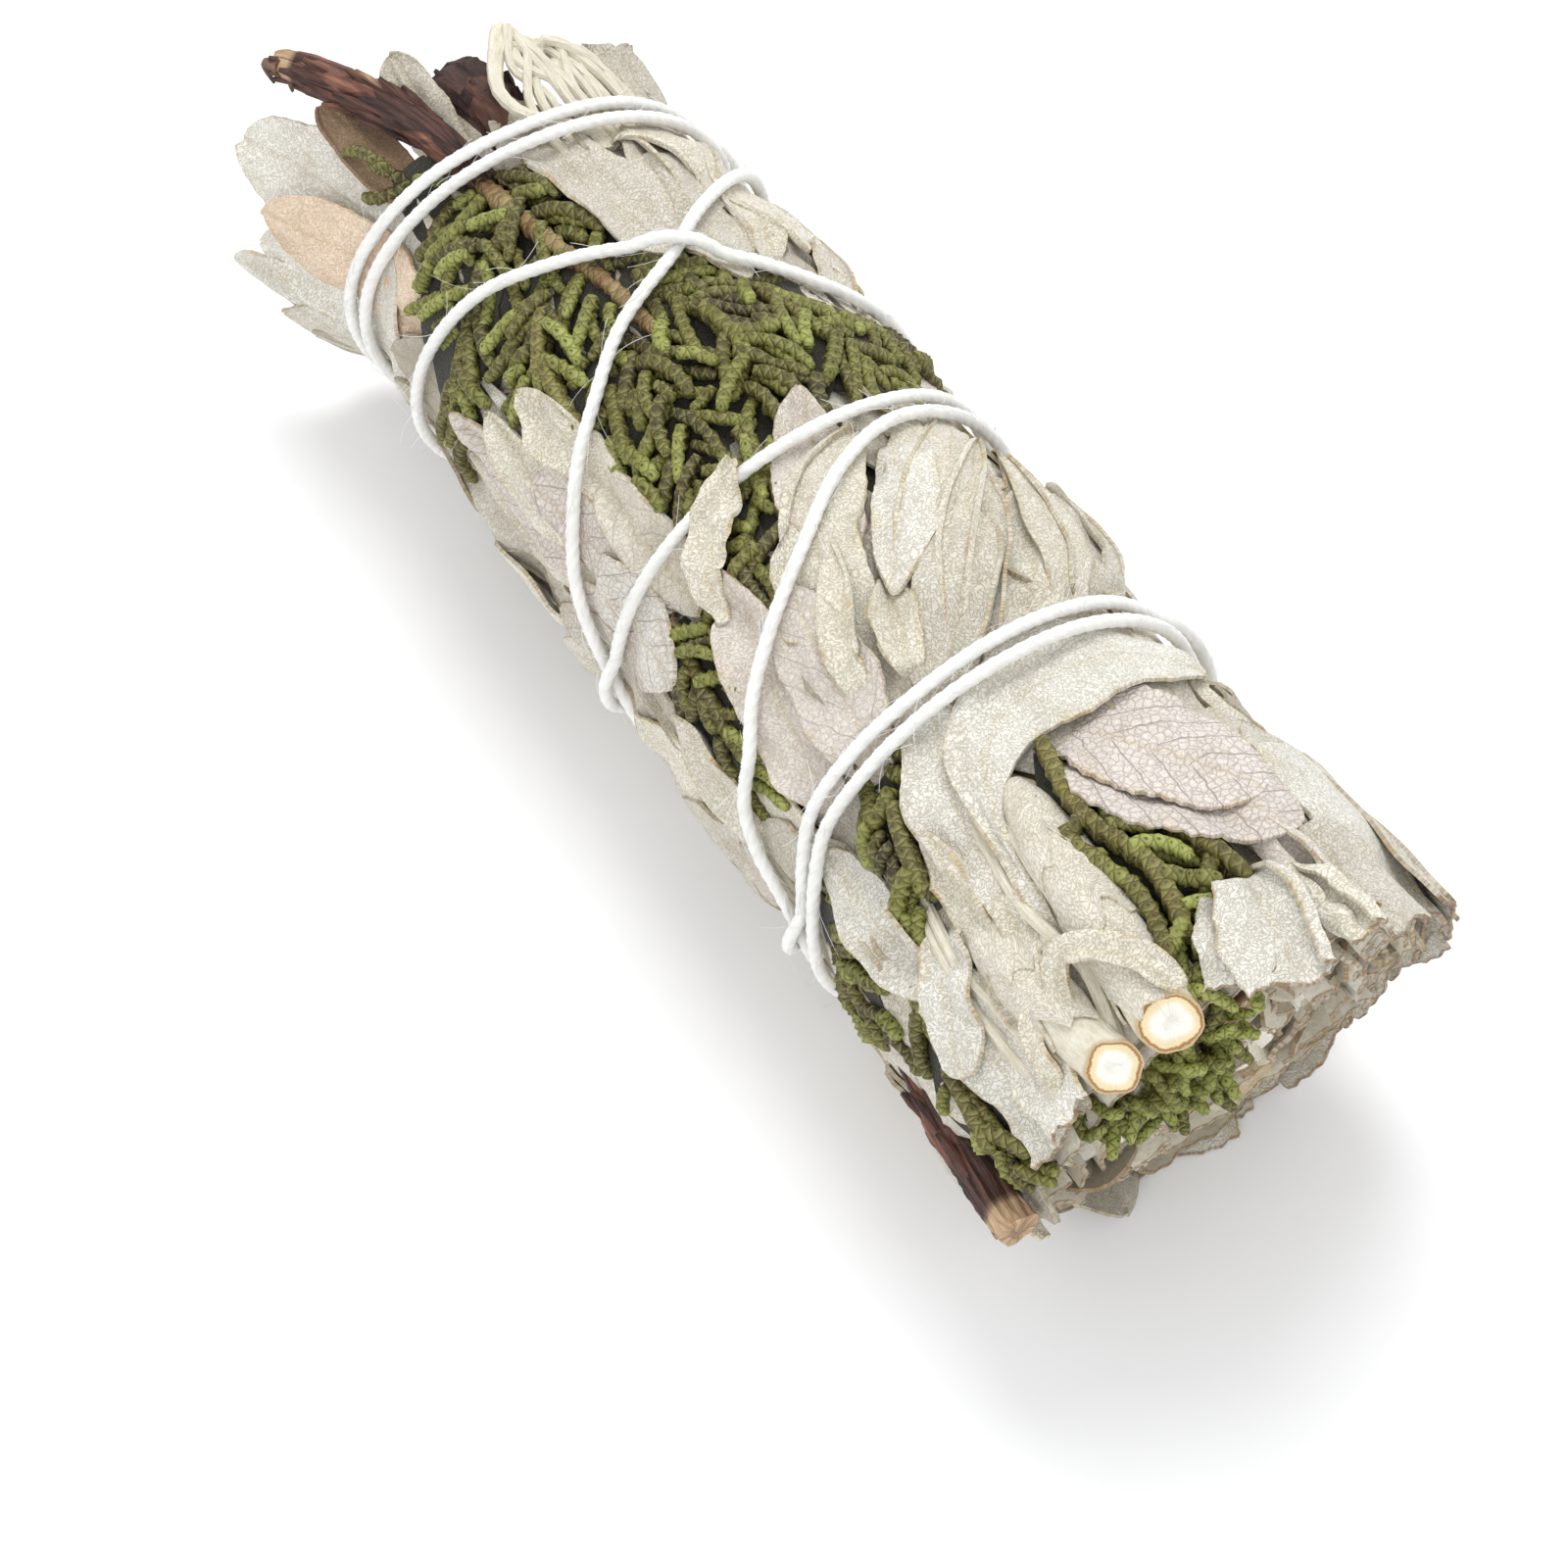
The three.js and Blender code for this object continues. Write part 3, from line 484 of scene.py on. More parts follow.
def layStudio():
    bpy.ops.object.select_all(action="DESELECT")
    bpy.ops.mesh.primitive_plane_add(size=3, location=(0, 0, 0))
    floor = bpy.context.object
    floor.name = "pale_floor"
    f = Finish("pale floor", roughness=0.7)
    cloud = f.noise(f.place(), 3.0, Detail=2.0)
    color = f.blend(cloud * 0.1, studio["floorTone"], tone(252, 252, 252))
    f.connect(f.shader.inputs["Base Color"], color)
    floor.data.materials.append(f.material)

    world = bpy.data.worlds.new("soft white room")
    world.use_nodes = True
    world.node_tree.nodes["Background"].inputs["Color"].default_value = (0.98, 0.99, 1.0, 1)
    world.node_tree.nodes["Background"].inputs["Strength"].default_value = studio["sky"]
    bpy.context.scene.world = world
    bpy.context.scene.view_settings.view_transform = "Standard"
    bpy.context.scene.view_settings.exposure = studio["exposure"]

    for name, place, size, power in (
        ("window light", (-0.35, 0.25, 0.75), 0.5, studio["keyPower"]),
        ("fill light", (0.5, -0.65, 0.5), 0.8, studio["fillPower"]),
    ):
        bpy.ops.object.light_add(type="AREA", location=place)
        light = bpy.context.object
        light.name = name
        light.data.shape = "DISK"
        light.data.size = size
        light.data.energy = power
        light.rotation_euler = (Vector((0, 0, 0.02)) - Vector(place)).to_track_quat("-Z", "Y").to_euler()

    turn, tilt = math.radians(studio["azimuth"]), math.radians(studio["elevation"])
    back = Vector((math.sin(turn) * math.cos(tilt), -math.cos(turn) * math.cos(tilt), math.sin(tilt)))
    right = Vector((math.cos(turn), math.sin(turn), 0))
    up = back.cross(right)
    bpy.ops.object.camera_add()
    eye = bpy.context.object
    eye.name = "photo_camera"
    at = (Vector(studio["lookAt"]) + back * studio["distance"]) * mm
    eye.matrix_world = Matrix.Translation(at) @ Matrix((right, up, back)).transposed().to_4x4()
    eye.data.lens = studio["lens"]
    eye.data.sensor_width = 36
    eye.data.clip_start, eye.data.clip_end = 0.01, 5
    bpy.context.scene.camera = eye


print("stage: floor, light and camera")
layStudio()


# Blanks: each repeated shape is modelled once, flat or straight, then copied and bent into place.


def takeNothing():
    if bpy.context.object and bpy.context.object.mode != "OBJECT":
        bpy.ops.object.mode_set(mode="OBJECT")
    bpy.ops.object.select_all(action="DESELECT")


def editNew(name):
    made = bpy.context.object
    made.name = name
    bpy.ops.object.mode_set(mode="EDIT")
    bpy.context.tool_settings.mesh_select_mode = (True, False, False)
    bpy.ops.mesh.select_all(action="DESELECT")
    bpy.ops.object.mode_set(mode="OBJECT")
    return made


def spotsOf(made):
    spots = np.zeros(len(made.data.vertices) * 3)
    made.data.vertices.foreach_get("co", spots)
    return spots.reshape(-1, 3)


def moveTo(made, spots):
    made.data.vertices.foreach_set("co", spots.ravel())


def cornersOf(mesh):  # the vertex at each corner of each face
    corners = np.zeros(len(mesh.loops), int)
    mesh.loops.foreach_get("vertex_index", corners)
    return corners


def unit(vectors, least=0.0):
    return vectors / (np.linalg.norm(vectors, axis=-1, keepdims=True) + least)


def pick(mesh, vertices=None, edges=None, faces=None):  # what the next step of modelling works on
    for kind, flags in ((mesh.vertices, vertices), (mesh.edges, edges), (mesh.polygons, faces)):
        kind.foreach_set("select", np.zeros(len(kind), bool) if flags is None else flags)


def cutAlong(made, cuts):  # rings around an upright cylinder
    z = spotsOf(made)[:, 2]
    ends = np.array([edge.vertices[:] for edge in made.data.edges])
    edges = np.abs(z[ends[:, 0]] - z[ends[:, 1]]) > 0.5
    pick(made.data, vertices=np.isin(np.arange(len(z)), ends[edges]), edges=edges)
    bpy.context.tool_settings.mesh_select_mode = (False, True, False)
    bpy.ops.object.mode_set(mode="EDIT")
    bpy.ops.mesh.subdivide(number_cuts=cuts)
    bpy.ops.mesh.select_all(action="DESELECT")
    bpy.ops.object.mode_set(mode="OBJECT")


leafShapes = {  # half widths from the stalk to the tip, 1 at the widest
    "pointed": [(0, 0.2), (0.08, 0.36), (0.22, 0.7), (0.4, 0.95), (0.52, 1), (0.68, 0.94), (0.8, 0.77), (0.89, 0.54),
                (0.95, 0.33), (0.985, 0.17), (1, 0.06)],
    "blunt": [(0, 0.4), (0.08, 0.6), (0.2, 0.86), (0.4, 1), (0.65, 0.98), (0.8, 0.85), (0.9, 0.63), (0.96, 0.4),
              (0.99, 0.2), (1, 0.07)],
    "strap": [(0, 0.3), (0.06, 0.7), (0.14, 0.95), (0.3, 1), (0.75, 1), (0.9, 0.9), (0.97, 0.6), (1, 0.2)],
    "stalked": [(0, 0.15), (0.17, 0.17), (0.26, 0.4), (0.4, 0.84), (0.55, 1), (0.75, 0.98), (0.9, 0.8), (0.97, 0.5),
                (1, 0.2)],
    "cutOff": [(0, 0.3), (0.15, 0.66), (0.4, 0.95), (0.7, 1), (1, 0.94)],
    "band": [(0, 0.1), (0.3, 0.13), (0.36, 0.26), (0.44, 0.54), (0.54, 0.8), (0.7, 0.98), (0.82, 0.92), (0.92, 0.62),
             (1, 0.1)],
    "even": [(0, 1), (1, 1)],
}


def leafWidth(t, shape):
    return float(np.interp(t, *zip(*leafShapes[shape])))


def leafBlank(columns, rows, shape="pointed"):
    takeNothing()
    bpy.ops.mesh.primitive_grid_add(x_subdivisions=columns, y_subdivisions=rows, size=2, location=(0, 0, 0))
    made = editNew("blank_blade")
    spots = [1 - (1 - i / rows) ** 1.25 for i in range(rows + 1)]  # rows lie closer near the tip
    for i, t in enumerate(spots):  # each row is drawn in to the leaf's outline
        y = 2 * i / rows - 1
        pick(made.data, vertices=np.abs(spotsOf(made)[:, 1] - y) < 1e-4)
        bpy.ops.object.mode_set(mode="EDIT")
        bpy.ops.transform.resize(value=(max(0.05, leafWidth(t, shape)), 1, 1), center_override=(0, y, 0))
        bpy.ops.object.mode_set(mode="OBJECT")
    made.data.flip_normals()
    co = spotsOf(made)
    row = np.round((co[:, 1] + 1) / 2 * rows).astype(int)
    order = np.lexsort((co[:, 0], row)).reshape(rows + 1, columns + 1)
    return {"object": made, "order": order, "across": co[order, 0], "t": np.array(spots), "shape": shape}


def rodBlank(sides, segments, rings=0):
    takeNothing()
    bpy.ops.mesh.primitive_cylinder_add(vertices=sides, radius=1, depth=1, location=(0, 0, 0.5), end_fill_type="NGON")
    made = bpy.context.object
    bpy.ops.object.transform_apply(location=True, rotation=False, scale=False)
    cutAlong(made, segments - 1)
    bpy.context.tool_settings.mesh_select_mode = (False, False, True)
    for level in (0.0, 1.0):
        for face in made.data.polygons:
            face.select = len(face.vertices) == sides and abs(face.center.z - level) < 1e-4
        bpy.ops.object.mode_set(mode="EDIT")
        for _ in range(rings):
            bpy.ops.mesh.inset(thickness=0.9 / (rings + 1))
        bpy.ops.mesh.poke()
        bpy.ops.mesh.select_all(action="DESELECT")
        bpy.ops.object.mode_set(mode="OBJECT")
    co, corner = spotsOf(made), cornersOf(made.data)
    turns = ((np.arctan2(co[:, 1], co[:, 0]) / (2 * math.pi)) % 1.0)[corner]
    for face in made.data.polygons:  # the seam: no face runs backwards over it
        span = list(face.loop_indices)
        if np.ptp(turns[span]) > 0.5:
            turns[span] = np.where(turns[span] < 0.5, turns[span] + 1, turns[span])
    ring = np.round(co[:, 2] * segments).astype(int)
    return {"object": made, "co": co, "ring": ring, "segments": segments, "turns": turns, "z": co[corner, 2]}


def copyOf(blank):
    made = bpy.data.objects.new("copy", blank["object"].data.copy())
    bpy.context.collection.objects.link(made)
    return made


def paint(mesh, name, values, kind="FLOAT"):  # an attribute with one value for each vertex
    layer = mesh.attributes.get(name) or mesh.attributes.new(name, kind, "POINT")
    values = np.asarray(values, float)
    if kind == "FLOAT":
        if values.ndim == 0:
            values = np.full(len(mesh.vertices), float(values))
        layer.data.foreach_set("value", values)
    else:
        if values.ndim == 1:
            values = np.tile(np.append(values, 1.0)[:4], (len(mesh.vertices), 1))
        layer.data.foreach_set("color", values.ravel())


def mapCorners(mesh, name, pairs):
    while mesh.uv_layers:
        mesh.uv_layers.remove(mesh.uv_layers[0])
    layer = mesh.uv_layers.new(name=name)
    layer.data.foreach_set("uv", np.ascontiguousarray(pairs, float).ravel())


def inOrder(blank, values):  # values by row and column of a blade, put in the order of its vertices
    values = np.broadcast_to(values, blank["order"].shape + np.shape(values)[2:])
    out = np.zeros((blank["order"].size,) + values.shape[2:])
    out[blank["order"]] = values
    return out


def lengthOf(line):  # in millimetres
    return np.linalg.norm(np.diff(line, axis=0), axis=1).sum() / mm


def pointsAt(line, spots):  # points of a line, at places between its points
    index = np.arange(len(line))
    return np.stack([np.interp(spots, index, line[:, k]) for k in range(3)], axis=-1)


endLean = {"from": 46.0, "to": 62.0, "much": 3.5, "height": 26.0}  # the cut runs in a little towards the underside


def leanEnd(made):
    co = spotsOf(made) / mm
    low = np.clip(1 - co[:, 2] / endLean["height"], 0, 1)
    co[:, 0] -= endLean["much"] * rise(co[:, 0], endLean["from"], endLean["to"]) * low
    moveTo(made, co * mm)


def solidify(made, thickness):
    bpy.ops.object.modifier_add(type="SOLIDIFY")
    wall = made.modifiers[-1]
    wall.thickness, wall.offset = thickness * mm, -1
    bpy.ops.object.modifier_apply(modifier=wall.name)


def makePiece(name, parts, material, nodes=(), angle=50, lean=False, wall=0):
    takeNothing()
    for part in parts:
        part.select_set(True)
    bpy.context.view_layer.objects.active = parts[0]
    if len(parts) > 1:
        bpy.ops.object.join()
    made = bpy.context.object
    made.name = made.data.name = name
    made.data.materials.clear()
    made.data.materials.append(material)
    if lean:
        leanEnd(made)
    if wall:
        solidify(made, wall)
    bpy.ops.object.mode_set(mode="EDIT")
    bpy.ops.mesh.select_all(action="SELECT")
    bpy.ops.mesh.normals_make_consistent(inside=False)
    bpy.ops.object.mode_set(mode="OBJECT")
    bpy.ops.object.shade_smooth_by_angle(angle=math.radians(angle))
    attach(made, "root")
    if nodes:
        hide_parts(*nodes)
    print(f"   {made.name}: {sum(len(p.vertices) - 2 for p in made.data.polygons)} triangles")


print("stage: blanks")
blades = {
    "fine": leafBlank(14, 32),
    "broad": leafBlank(16, 30, "blunt"),
    "plain": leafBlank(6, 14),
    "blunt": leafBlank(6, 12, "blunt"),
    "strap": leafBlank(12, 30, "strap"),
    "stalked": leafBlank(14, 38, "stalked"),
    "band": leafBlank(14, 38, "band"),
    "cutOff": leafBlank(12, 20, "cutOff"),
    "sheet": leafBlank(4, 34, "even"),
    "sheath": leafBlank(16, 14, "even"),
}
sprig = rodBlank(8, 10)
stalk = rodBlank(7, 16)
twig = rodBlank(18, 44, rings=1)
stemRod = rodBlank(24, 26, rings=4)
hair = rodBlank(3, 5)

pile = emptyMap(0.0)  # how high the heap stands above the core so far


def rolled(distance, q, fold, curl, cup, start, weight):  # one side of a leaf, turned up by so many degrees
    turn = np.radians(fold + cup * q + curl * rise(q, start, 1.0)) * weight
    step = np.diff(distance, axis=1)
    middle = (turn[:, 1:] + turn[:, :-1]) / 2
    zero = np.zeros((distance.shape[0], 1))
    return (np.concatenate([zero, np.cumsum(np.cos(middle) * step, axis=1)], axis=1),
            np.concatenate([zero, np.cumsum(np.sin(middle) * step, axis=1)], axis=1))


def between(m, fx, fy):  # a grid's values at a spot within each of its squares
    return (m[:-1, :-1] * (1 - fx) + m[1:, :-1] * fx) * (1 - fy) + (m[:-1, 1:] * (1 - fx) + m[1:, 1:] * fx) * fy


def bentSheet(blank, spots, flat, rim, tone, bright, veined=0.2):
    made = copyOf(blank)
    moveTo(made, inOrder(blank, spots))
    mapCorners(made.data, "leafMap", inOrder(blank, flat)[cornersOf(made.data)])
    paint(made.data, "rim", inOrder(blank, rim))
    paint(made.data, "leafTone", np.array(leafTones[tone]) * bright, "FLOAT_COLOR")
    paint(made.data, "veined", veined)
    return made


def layLeaf(path, wide, blade="plain", lift=0.4, sink=True, over=False, cup=None, fold=(0, 0), curl=None,
            curlFrom=0.45, curlAt=(0.0, 1.0), wave=0.3, twist=0, crenate=0.012, tone="silver", veined=0.0, gap=0.58,
            stiff=12, seed=1, grows=True, creases=None, bright=1.0):
    draw = random.Random(seed)
    blank = blades[blade]
    t = blank["t"]
    rows, columns = blank["order"].shape
    line = pointsAt(pathThrough(path, 80), t * 80)
    x, arc, extra = line.T
    heading = unit(np.gradient(line[:, :2], t, axis=0))
    side = np.stack([heading[:, 1], -heading[:, 0]], axis=1)
    if cup is None:
        cup = draw.uniform(-12, 16)
    if curl is None:  # about every other leaf has one side turned in
        much = draw.uniform(35, 120) if draw.random() < 0.5 else 0
        curl, curlFrom = ((much, 0) if draw.random() < 0.5 else (0, much)), draw.uniform(0.5, 0.7)
        first = draw.uniform(0, 0.5)
        curlAt = (first, first + draw.uniform(0.4, 0.7))
    distance = blank["across"] * wide / 2
    edge = np.abs(distance).max(axis=1, keepdims=True)
    q = np.abs(distance) / edge
    s = distance / edge
    notch = 1 + crenate * (np.arange(rows) % 2 * 2 - 1)[:, None] * rise(q, 0.7, 1.0)
    for half in (-1, 1):  # no two sides of a leaf are alike
        wander = 0.06 * np.sin(t * draw.uniform(6, 12) + draw.uniform(0, 6))
        wander = wander + 0.025 * np.sin(t * draw.uniform(20, 30) + draw.uniform(0, 6))
        notch = np.where(np.sign(s) == half, notch * (1 + wander[:, None]), notch)
    distance = distance * notch
    middle = columns // 2
    curled = rise(t, curlAt[0] - 0.12, curlAt[0] + 0.02) * (1 - rise(t, curlAt[1] - 0.02, curlAt[1] + 0.12))
    rolling = (cup, curlFrom, curled[:, None])
    rightOut, rightUp = rolled(distance[:, middle:], q[:, middle:], fold[1], curl[1], *rolling)
    leftOut, leftUp = rolled(-distance[:, middle::-1], q[:, middle::-1], fold[0], curl[0], *rolling)
    lateral = np.concatenate([-leftOut[:, :0:-1], rightOut], axis=1)
    up = np.concatenate([leftUp[:, :0:-1], rightUp], axis=1)
    body = (rise(t, 0.03, 0.22) * (1 - 0.6 * rise(t, 0.85, 1.0)))[:, None]
    waves = 2 * math.pi * 2.2 * t[:, None]
    ripple = np.sin(waves + draw.uniform(0, 6) + np.sign(lateral) * draw.uniform(0.5, 2.0))
    up = up + wave * q**2 * ripple * body
    if creases is None:
        creases = draw.choice((1, 2, 2, 3)) if rows > 20 else draw.choice((0, 1, 1))
    for _ in range(creases):  # folds pressed in along the leaf
        middleLine = draw.uniform(-0.7, 0.7)
        middleLine = middleLine + draw.uniform(-0.35, 0.35) * np.sin(t * draw.uniform(2, 5) + draw.uniform(0, 6))
        deep = draw.uniform(0.3, 0.85) * draw.choice((-1, 1)) * min(1, wide / 8)
        part = rise(t, *sorted((draw.uniform(0, 0.4), draw.uniform(0.3, 0.6)))) if draw.random() < 0.5 else 1 + t * 0
        crease = np.exp(-(((s - middleLine[:, None]) / draw.uniform(0.13, 0.24)) ** 2))
        up = up + deep * crease * body * np.asarray(part)[:, None]
    for _ in range(3):  # crumpling
        slant = t[:, None] * draw.uniform(6, 20) + s * draw.uniform(-5, 5)
        up = up + 0.12 * np.sin(slant + draw.uniform(0, 6)) * body
    turn = np.radians(twist) * (t - 0.35)[:, None]
    lateral, up = lateral * np.cos(turn) - up * np.sin(turn), up * np.cos(turn) + lateral * np.sin(turn)
    placeX = x[:, None] + side[:, :1] * lateral
    placeArc = arc[:, None] + side[:, 1:] * lateral
    if blank["shape"] == "cutOff":  # cut, not quite straight
        uneven = 0.35 * np.sin(s * draw.uniform(3, 6) + draw.uniform(0, 6)) + 0.15 * np.sin(s * 17)
        placeX = placeX + uneven * rise(t, 0.8, 1.0)[:, None]
    ground = readMap(pile, np.clip(placeX, bundle["farEnd"] + 1, bundle["cutEnd"] - 1), placeArc)
    cover = ground
    for _ in range(stiff):
        p = np.pad(cover, 1, mode="edge")
        cover = np.maximum(ground, (p[:-2, 1:-1] + p[2:, 1:-1] + p[1:-1, :-2] + p[1:-1, 2:] + 2 * cover) / 6)
    if sink:
        root = rise(t, 0.0, 0.2)[:, None]
        cover = cover * root - 1.0 * (1 - root)
        up = up * root
    rest = cover + gap
    height = rest + np.maximum(up, -0.45) + (lift * t**3 + extra)[:, None]
    if not over:
        height = pressed(height, placeX, placeArc)
    if grows:
        top = np.minimum(rest + np.clip(up, 0, 0.8), height + 0.6)
        for fx in (0, 1 / 3, 2 / 3):
            for fy in (0, 1 / 3, 2 / 3):
                raiseMap(pile, *(between(values, fx, fy) for values in (placeX, placeArc, top)))
    flat = np.stack([distance, (t * pathLength(path))[:, None] + np.zeros_like(distance)], axis=-1)
    flat = flat + np.array([0.0, round(draw.uniform(0, 90) / sideVeinPitch) * sideVeinPitch])
    rim = np.maximum(q, rise(t, 0.93, 1.0)[:, None])
    made = bentSheet(blank, onBundle(placeX, placeArc, height), flat, rim, tone, draw.uniform(0.92, 1.03) * bright,
                     veined)
    paint(made.data, "cutRim", inOrder(blank, rise(t, 0.955, 1.0)[:, None] * (blank["shape"] == "cutOff")))
    return made


def litter(seed, count, enough, reach=(-55, 57), grown=(12, 20), widths=(7, 12), bright=1.0, around=(0, 360)):
    draw = random.Random(seed)  # one leaf after another goes where the heap is lowest
    laid = []
    inside = (chartX > reach[0]) & (chartX < reach[1]) & (((chartTurn - around[0]) % 360) <= (around[1] - around[0]))
    for i in range(count):
        level = pile.copy()
        for axis in (0, 1):
            level = sum(np.roll(level, k, axis=axis) for k in range(-4, 5)) / 9
        level = np.where(inside, level + np.random.RandomState(seed * 1000 + i).uniform(0, 0.5, level.shape), 99)
        a, b = np.unravel_index(np.argmin(level), level.shape)
        if level[a, b] > enough:
            break
        length = draw.uniform(*grown)
        back = -length if draw.random() < 0.8 else length
        x, at, lean = chartX[a, 0], chartTurn[0, b], draw.uniform(-12, 12)
        root = min(max(x - back * 0.5, reach[0]), 59)
        path = [(root, at - lean / 2), (root + back * 0.5, at + draw.uniform(-3, 3)), (root + back, at + lean / 2)]
        laid.append(layLeaf(path, draw.uniform(*widths), blade=draw.choice(("plain", "plain", "blunt")),
                            lift=draw.uniform(0, 0.4), tone=draw.choice(("silver", "stone", "cream", "shade")),
                            veined=0.6 if draw.random() < 0.25 else 0.1, wave=draw.uniform(0.1, 0.3), gap=0.4,
                            seed=seed * 1000 + i, bright=bright))
    print(f"   {len(laid)} leaves fill the heap")
    return laid


def leaf(path, wide, tone, blade="fine", **more):  # a row of the tables below
    return dict(path=path, wide=wide, tone=tone, blade=blade, **more)


print("stage: under leaves")
# the lowest leaves are 15% darker: painted shade under the heap
underLeaves = litter(11, 150, enough=0.9, bright=0.85)

# Leaves of the side seen from above that lie under the juniper, from the lowest up.
lowLeaves = [
    leaf([(-40, 120), (-52, 120), (-64, 118)], 9, "stone", "plain", lift=1.5),
    leaf([(-38, 108), (-50, 108), (-62, 106)], 9, "silver", "plain", lift=1.5, veined=0.2),
    leaf([(-40, 134), (-52, 134), (-65, 132)], 11, "stone", "broad", lift=4.0),
    leaf([(-42, 124), (-54, 124), (-66, 122)], 11, "shade", "broad", lift=5.0),
    leaf([(-40, 110), (-54, 112), (-69, 116)], 10, "silver", lift=5.5, curl=(0, 0)),
    leaf([(-40, 97), (-56, 101), (-76, 108)], 9.5, "pale", lift=5.6, curl=(0, 0)),
    leaf([(-42, 82), (-56, 86), (-71, 93)], 10, "pale", "broad", lift=3.6, curl=(0, 30)),
    leaf([(-44, 55), (-58, 59), (-77, 71)], 13.5, "pale", "broad", lift=3.0, cup=12, curl=(0, 0), veined=0.05,
         creases=0, wave=0.15, bright=1.06),
    leaf([(-41, 70), (-54, 70), (-68.5, 76)], 10.5, "peach", "broad", lift=2.8, veined=0.3, wave=0.3, curl=(0, 40),
         curlFrom=0.3, gap=1.1, creases=1, cup=6),
    leaf([(-54, 60), (-50, 80), (-44, 106)], 7, "pale", veined=0.2, lift=0.6, sink=False, gap=0.8, curl=(0, 0),
         creases=1),
    leaf([(-42, -74), (-53, -76), (-63, -80)], 12, "pale", "broad", lift=1.8, curl=(0, 0)),
    leaf([(-42, -54), (-53, -55), (-62, -56)], 12, "stone", "broad", lift=2.0, curl=(0, 0), cup=10),
    leaf([(-44, -36), (-53, -36), (-61, -34)], 13, "stone", "broad", lift=1.4, curl=(0, 30), creases=1),
    leaf([(-50, 27), (-58, 24), (-68.5, 20)], 6.6, "stone", "broad", lift=1.8, curl=(0, 0), cup=16, creases=1),
    leaf([(-52, 40), (-60, 42), (-70, 44)], 6, "dried", "broad", lift=0.6, curl=(0, 90), creases=2),
    leaf([(-14, 112), (-24, 110), (-37, 106)], 8, "silver", lift=1.6, fold=(0, 30)),
    leaf([(-6, 90), (-22, 90), (-41, 94)], 9, "silver", lift=0.8, veined=0.3, curl=(0, 40)),
    leaf([(-8, 78), (-22, 78), (-38, 84)], 8, "cream", lift=0.6, veined=0.5),
    leaf([(-8, 66), (-20, 64), (-36, 62)], 7, "pale", curl=(50, 0)),
]
seenLeaves = [layLeaf(seed=200 + i, **row) for i, row in enumerate(lowLeaves)]


